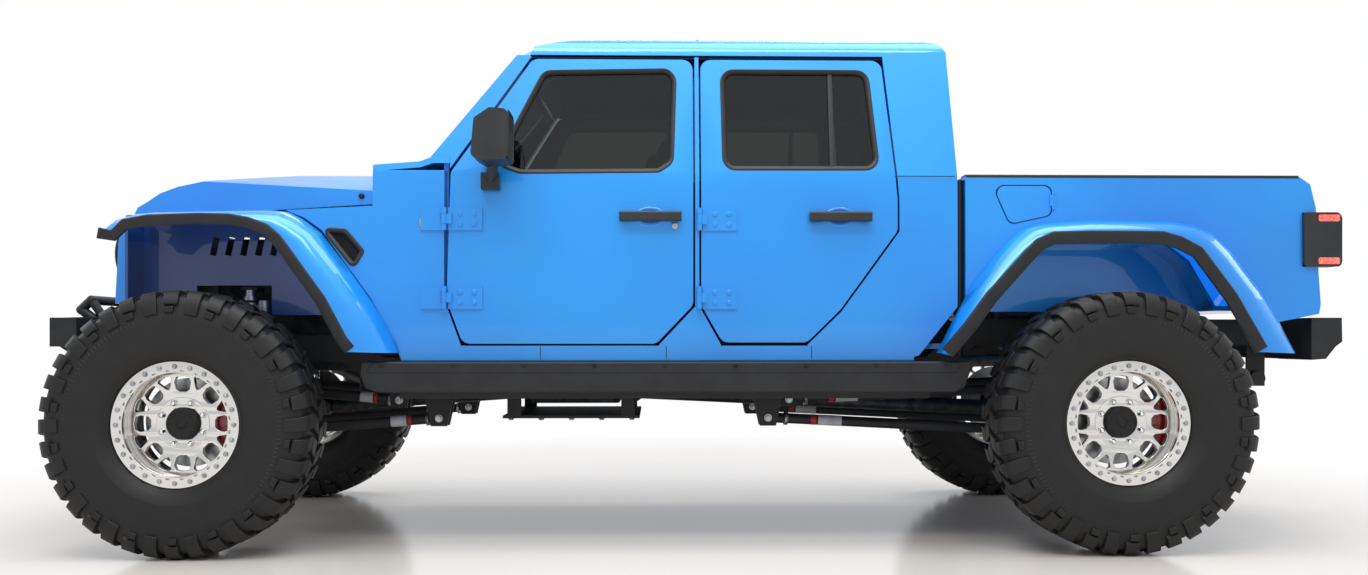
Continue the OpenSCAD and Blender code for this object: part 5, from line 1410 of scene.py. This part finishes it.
def buildSliderBolts(bm, side):
    x0, x1 = sliderSet["x"]
    for i in range(sliderSet["bolts"]):
        x = x0 + 60 + (x1 - x0 - 120) * i / (sliderSet["bolts"] - 1)
        addBolt(bm, spot(x, side * (sliderSet["out"] + 3), 726), (0, side, 0), 11 * mm, 3.5 * mm)


def buildSkidBolts(bm):
    for x in np.linspace(-770, -245, 5):
        for y in (-330, -120, 330, 120):
            addBolt(bm, spot(x, y, 487), (0, 0, -1), 19 * mm, 7 * mm)


covers = {"frontCover": (frontX / mm, axleSet["frontDiffY"], -1), "rearCover": (rearX / mm, 0, 1)}
for label, (x, y, way) in covers.items():
    trimPiece(label, "chassis", finish["cast_metal"],
              lambda bm: buildCover(bm, x, y, way), 0)
    trimPiece(label + "Bolts", "chassis", extra["zinc"],
              lambda bm: buildCoverBolts(bm, x, y, way), 0)
for sideName, side in sides.items():
    trimPiece("sliderPlate_" + sideName, "chassis", finish["black_coat"],
              lambda bm: buildSliderBand(bm, side), 2)
    trimPiece("sliderBolts_" + sideName, "chassis", extra["blackOxide"],
              lambda bm: buildSliderBolts(bm, side), 0)
trimPiece("skidBolts", "chassis", extra["zinc"], buildSkidBolts, 0)
print("axles and sliders dressed")


# cabin: padded seats and bench; each cushion swells over its foam, then gets its sewn channels
seatSet = dict(
    cells=22, crown=0.10, edge=0.88, pinch=0.045, power=5.5, voxel=12, pressure=4.0, cap=12,
    frames=20, slack=7, channelDeep=7, channelWide=12, frontX=-660, frontY=370, benchX=280,
)


# a crowned, closed form whose sides pull in between its corners
def padForm(name, length, width, thick):
    bm = bmesh.new()
    bmesh.ops.create_cube(bm, size=2)
    bmesh.ops.subdivide_edges(bm, edges=bm.edges, cuts=seatSet["cells"], use_grid_fill=True)
    n = seatSet["power"]
    for vertex in bm.verts:
        x, y, z = vertex.co
        x, y, z = (v / (abs(x) ** n + abs(y) ** n + abs(z) ** n) ** (1 / n) for v in (x, y, z))
        pull = seatSet["pinch"]
        swell = seatSet["edge"] + seatSet["crown"] * (1 - x * x) * (1 - y * y)
        vertex.co = (x * (1 - pull * (1 - y * y)) * length / 2 * mm,
                     y * (1 - pull * (1 - x * x)) * width / 2 * mm, z * swell * thick / 2 * mm)
    mesh = bpy.data.meshes.new(name)
    bm.to_mesh(mesh)
    bm.free()
    return mesh


def inflate(mesh):  # cloth over foam: air pressure swells the form, up to a cap, and the result is kept
    scene = bpy.context.scene
    piece = bpy.data.objects.new("swelling", mesh)
    scene.collection.objects.link(piece)
    remesh = piece.modifiers.new("evenCells", "REMESH")
    remesh.mode = "VOXEL"
    remesh.voxel_size = seatSet["voxel"] * mm
    even = bpy.data.meshes.new_from_object(piece.evaluated_get(bpy.context.evaluated_depsgraph_get()))
    piece.modifiers.clear()
    piece.data = even
    rest = np.array([v.co for v in even.vertices])
    cloth = piece.modifiers.new("cover", "CLOTH")
    cloth.settings.use_pressure = True
    cloth.settings.uniform_pressure_force = seatSet["pressure"]
    cloth.settings.quality = 4
    cloth.settings.effector_weights.gravity = 0
    cloth.point_cache.frame_end = seatSet["frames"]
    for step in range(1, seatSet["frames"] + 1):
        scene.frame_set(step)
    swollen = bpy.data.meshes.new_from_object(piece.evaluated_get(bpy.context.evaluated_depsgraph_get()))
    moved = np.array([v.co for v in swollen.vertices]) - rest
    length = np.linalg.norm(moved, axis=1)
    keep = np.minimum(1, seatSet["cap"] * mm / np.maximum(length, 1e-9))
    for vertex, place in zip(swollen.vertices, rest + moved * keep[:, None]):
        vertex.co = place
    scene.frame_set(1)
    bpy.data.objects.remove(piece)
    return swollen


def sewChannels(mesh, along, across, length, width):  # threads draw the cover in along lines, on both faces
    deep, wide = seatSet["channelDeep"] * mm, seatSet["channelWide"] * mm
    for vertex in mesh.vertices:
        x, y, z = vertex.co
        draw = sum(math.exp(-((y - c * mm) / wide) ** 2) for c in along if abs(x) < length * 0.44 * mm)
        draw += sum(math.exp(-((x - c * mm) / wide) ** 2) for c in across if abs(y) < width * 0.44 * mm)
        vertex.co.z -= math.copysign(deep * min(draw, 1), z)
    mesh.shade_smooth()


padMeshes = {}


def padMesh(name, size, along=(), across=()):
    if name not in padMeshes:
        length, width, thick = size
        shrink = 2 * seatSet["slack"]
        mesh = padForm(name, length - shrink, width - shrink, thick - shrink)
        mesh = inflate(mesh)
        sewChannels(mesh, along, across, length, width)
        mesh.name = name
        mesh.materials.clear()
        mesh.materials.append(finish["seat_leather"])
        padMeshes[name] = mesh
        print("cushion shaped:", name)
    return padMeshes[name]


def addPad(name, kind, place, tilt):  # place in millimetres, tilt in degrees about the y axis
    at = Matrix.Translation(Vector(place) * mm) @ Matrix.Rotation(math.radians(tilt), 4, "Y")
    pad = addPiece(name, padMesh(*padKinds[kind]), "chassis", None, at)
    soft = pad.modifiers.new("softer", "SUBSURF")
    soft.levels = soft.render_levels = 1
    return pad


padKinds = {
    "frontBase": ("frontBase", (500, 480, 140), (-110, 110), (-60, 60)),
    "frontBack": ("frontBack", (640, 470, 118), (-110, 110), (-150, 0, 150)),
    "bolster": ("bolster", (430, 74, 74), (), ()),
    "rest": ("rest", (150, 250, 72), (), ()),
    "benchBase": ("benchBase", (480, 1160, 150), (-390, -190, 0, 190, 390), ()),
    "benchBack": ("benchBack", (610, 1150, 112), (-390, -190, 0, 190, 390), (0,)),
}
seatPieces = []
for sideName, side in sides.items():
    x, y = seatSet["frontX"], side * seatSet["frontY"]
    seatPieces += [
        addPad("seatBase_" + sideName, "frontBase", (x + 265, y, 1020), -2.5),
        addPad("seatBack_" + sideName, "frontBack", (x + 528, y, 1390), -77.5),
        addPad("seatRest_" + sideName, "rest", (x + 624, y, 1826), -82),
    ]
    for edge in (-1, 1):
        addPad("seatBolster_%s_%s" % (sideName, "in" if edge * side < 0 else "out"), "bolster",
               (x + 470, y + edge * 205, 1400), -77.5)
seatPieces += [addPad("benchBase", "benchBase", (seatSet["benchX"] + 248, 0, 1004), -2),
               addPad("benchBack", "benchBack", (seatSet["benchX"] + 530, 0, 1370), -79)]
for y in (-370, 370):
    addPad("benchRest_" + ("left" if y < 0 else "right"), "rest", (seatSet["benchX"] + 610, y, 1742), -82)
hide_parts("seats")


def buildSeatMetal(bm):  # rails and headrest posts of the front seats
    for side in (-1, 1):
        x, y = seatSet["frontX"], side * seatSet["frontY"]
        for dy in (-170, 170):
            addBlock(bm, spot(x + 40, y + dy - 18, 812.5), spot(x + 450, y + dy + 18, 836))
            addBlock(bm, spot(x + 70, y + dy - 10, 836), spot(x + 420, y + dy + 10, 950))
        for dy in (-60, 60):
            path = [spot(x + 590, y + dy, 1690), spot(x + 612, y + dy, 1780)]
            sweep(bm, path, roundSection(6 * mm, 10), up=Vector((0, 1, 0)))


def buildPlinth(bm):
    x = seatSet["benchX"]
    addBlock(bm, spot(x + 44, -548, 813), spot(x + 416, 548, 938))


trimPiece("seatFrames", "chassis", extra["blackOxide"], buildSeatMetal)
trimPiece("benchPlinth", "chassis", finish["dash_plastic"], buildPlinth, 8)

# belts: flat webbing from the pillar to the floor
beltSet = dict(width=46, thick=1.6, tops={"front": (-10, 596, 1700), "rear": (930, 560, 1560)},
               feet={"front": (10, 640, 900), "rear": (800, 604, 1130)})
for end in ("front", "rear"):
    for sideName, side in sides.items():
        def buildBelt(bm):
            (x0, y0, z0), (x1, y1, z1) = beltSet["tops"][end], beltSet["feet"][end]
            path = [spot(x0 + (x1 - x0) * t + 6 * math.sin(math.pi * t), side * (y0 + (y1 - y0) * t),
                            z0 + (z1 - z0) * t) for t in np.linspace(0, 1, 14)]
            section = boxSection(beltSet["thick"] * mm, beltSet["width"] * mm, 0.4 * mm)
            sweep(bm, path, section, up=Vector((1, 0, 0)))
        trimPiece("belt_" + end + "_" + sideName, "chassis", extra["mattBlack"], buildBelt, 0)


# door cards, carpet, headliner and padded roll bars
cardSet = dict(
    front=[(-940, 985), (-888, 838), (-152, 838), (-22, 978), (-22, 1450), (-940, 1450)],
    rear=[(66, 984), (132, 842), (446, 842), (572, 966), (790, 1268), (790, 1384), (782, 1450), (66, 1450)],
    depth=(-100.6, -106),
)


def buildCard(bm, end, side):
    outline = roundedPath(cardSet[end], 30)
    addRings(bm, [[onSide(x, z, out, side) for x, z in outline] for out in (-99, *cardSet["depth"])])
    # armrest and pull
    x0, x1 = (-720, -250) if end == "front" else (180, 560)
    for z0, z1, reach in ((1180, 1236, -150), (1236, 1250, -138)):
        rings = []
        for x, full in ((x0, 0.35), (x0 + 40, 0.9), (x0 + 120, 1), (x1 - 80, 1), (x1 - 20, 0.7), (x1, 0.3)):
            depth = -104 + (reach + 104) * full
            corners = ((z0, -100), (z0 + 8, depth), (z1, depth), (z1, -100))
            rings.append([onSide(x, z, out, side) for z, out in corners])
        addRings(bm, rings)


def buildCarpet(bm):
    addBlock(bm, spot(-955, -640, 812.4), spot(1030, 640, 817))


def buildHeadliner(bm):
    rings = []
    for x in (-560, -300, 0, 300, 600, 900):
        rings.append([spot(x, y, 2019 - 26 * abs(y / 600) ** 6) for y in range(-600, 601, 60)] +
                     [spot(x, y, 2013 - 26 * abs(y / 600) ** 6) for y in range(600, -601, -60)])
    addRings(bm, rings)


rollSet = dict(radius=26, y=572, z=1968, hoops=(20, 890))


def buildRollBars(bm):
    r = rollSet["radius"] * mm
    for side in (-1, 1):
        path = arcThrough([spot(-600, side * 580, 1930), spot(-480, side * rollSet["y"], rollSet["z"]),
                           spot(890, side * rollSet["y"], rollSet["z"]),
                           spot(985, side * 565, 1560)], 0.09, 6, False)
        sweep(bm, path, roundSection(r, 16))
    for x in rollSet["hoops"]:
        sweep(bm, [spot(x, y, rollSet["z"] + 2) for y in (-560, 0, 560)], roundSection(r, 16))


for end in ("front", "rear"):
    for sideName, side in sides.items():
        trimPiece("doorCard_" + end + "_" + sideName, "door_" + end + "_" + sideName, finish["dash_plastic"],
                  lambda bm: buildCard(bm, end, side), 0)
trimPiece("carpet", "chassis", extra["carpet"], buildCarpet, 0)
trimPiece("headliner", "chassis", extra["headliner"], buildHeadliner, 0)
trimPiece("rollBars", "chassis", extra["mattBlack"], buildRollBars, 0)
print("seats, belts, cards and roll bars fitted")


# dashboard: binnacle, screen, round vents and grab bar
dashSet = dict(faceX=-768, gaugeY=-370, ventY=(-560, -200, 200, 560), z=1410)


def buildGauges(bm):
    for dy in (-62, 62):
        centre = spot(-778, dashSet["gaugeY"] + dy, 1442)
        drumOf(bm, centre, (1, 0, 0.25), (50, 50, 46, 44, 0.5), (-10, 8, 10, 3, 3), 40)


def buildGaugeFaces(bm):
    for dy in (-62, 62):
        centre = spot(-774, dashSet["gaugeY"] + dy, 1443)
        turn = Vector((0, 0, 1)).rotation_difference(Vector((1, 0, 0.25))).to_matrix()
        for i in range(25):  # scale marks round the dial
            a = math.radians(-40 + 260 * i / 24)
            ends = [centre + turn @ spot(r * math.sin(a), r * math.cos(a), 3.6)
                    for r in (34 if i % 2 else 31, 40)]
            sweep(bm, ends, boxSection(1.4 * mm, 0.6 * mm, 0.1 * mm))


def buildDashVents(bm):
    for y in dashSet["ventY"]:
        centre = spot(-784, y, 1404)
        drumOf(bm, centre, (1, 0, 0.1), (44, 44, 38, 36, 0.5), (0, 12, 14, 6, 6), 36)
        for i in range(5):
            addBlock(bm, centre + spot(6, -30, -22 + i * 10), centre + spot(12, 30, -19 + i * 10))


def buildScreen(bm):
    outline = [(y, z) for y, z in roundedPath([(-105, 1372), (105, 1372), (105, 1470), (-105, 1470)], 12)]
    addRings(bm, [[spot(x, y, z) for y, z in outline] for x in (-800, -764)])


def buildGrabBar(bm):
    path = arcThrough([Vector(p) * mm for p in ((-790, 250, 1340), (-745, 250, 1342), (-745, 520, 1342),
                                                (-790, 520, 1340))], 0.03, 5, False)
    sweep(bm, path, roundSection(12 * mm, 12))


for label, material, build in (("gaugeRims", extra["silverMirror"], buildGauges),
                               ("gaugeMarks", extra["arrayLens"], buildGaugeFaces),
                               ("dashVents", extra["mattBlack"], buildDashVents),
                               ("dashScreen", extra["blackOxide"], buildScreen),
                               ("grabBar", extra["mattBlack"], buildGrabBar)):
    trimPiece(label, "chassis", material, build, 0)
print("dashboard fitted")

# weatherstrips behind the doors' inner edges, below the belt line
for end in ("front", "rear"):
    for sideName, side in sides.items():
        gapSeal("weatherstrip_" + end + "_" + sideName, grown(roundedPath(cardSet[end], 30), 34),
                [(-13, -110), (-13, -101), (13, -101), (13, -110)], side, closed=True)
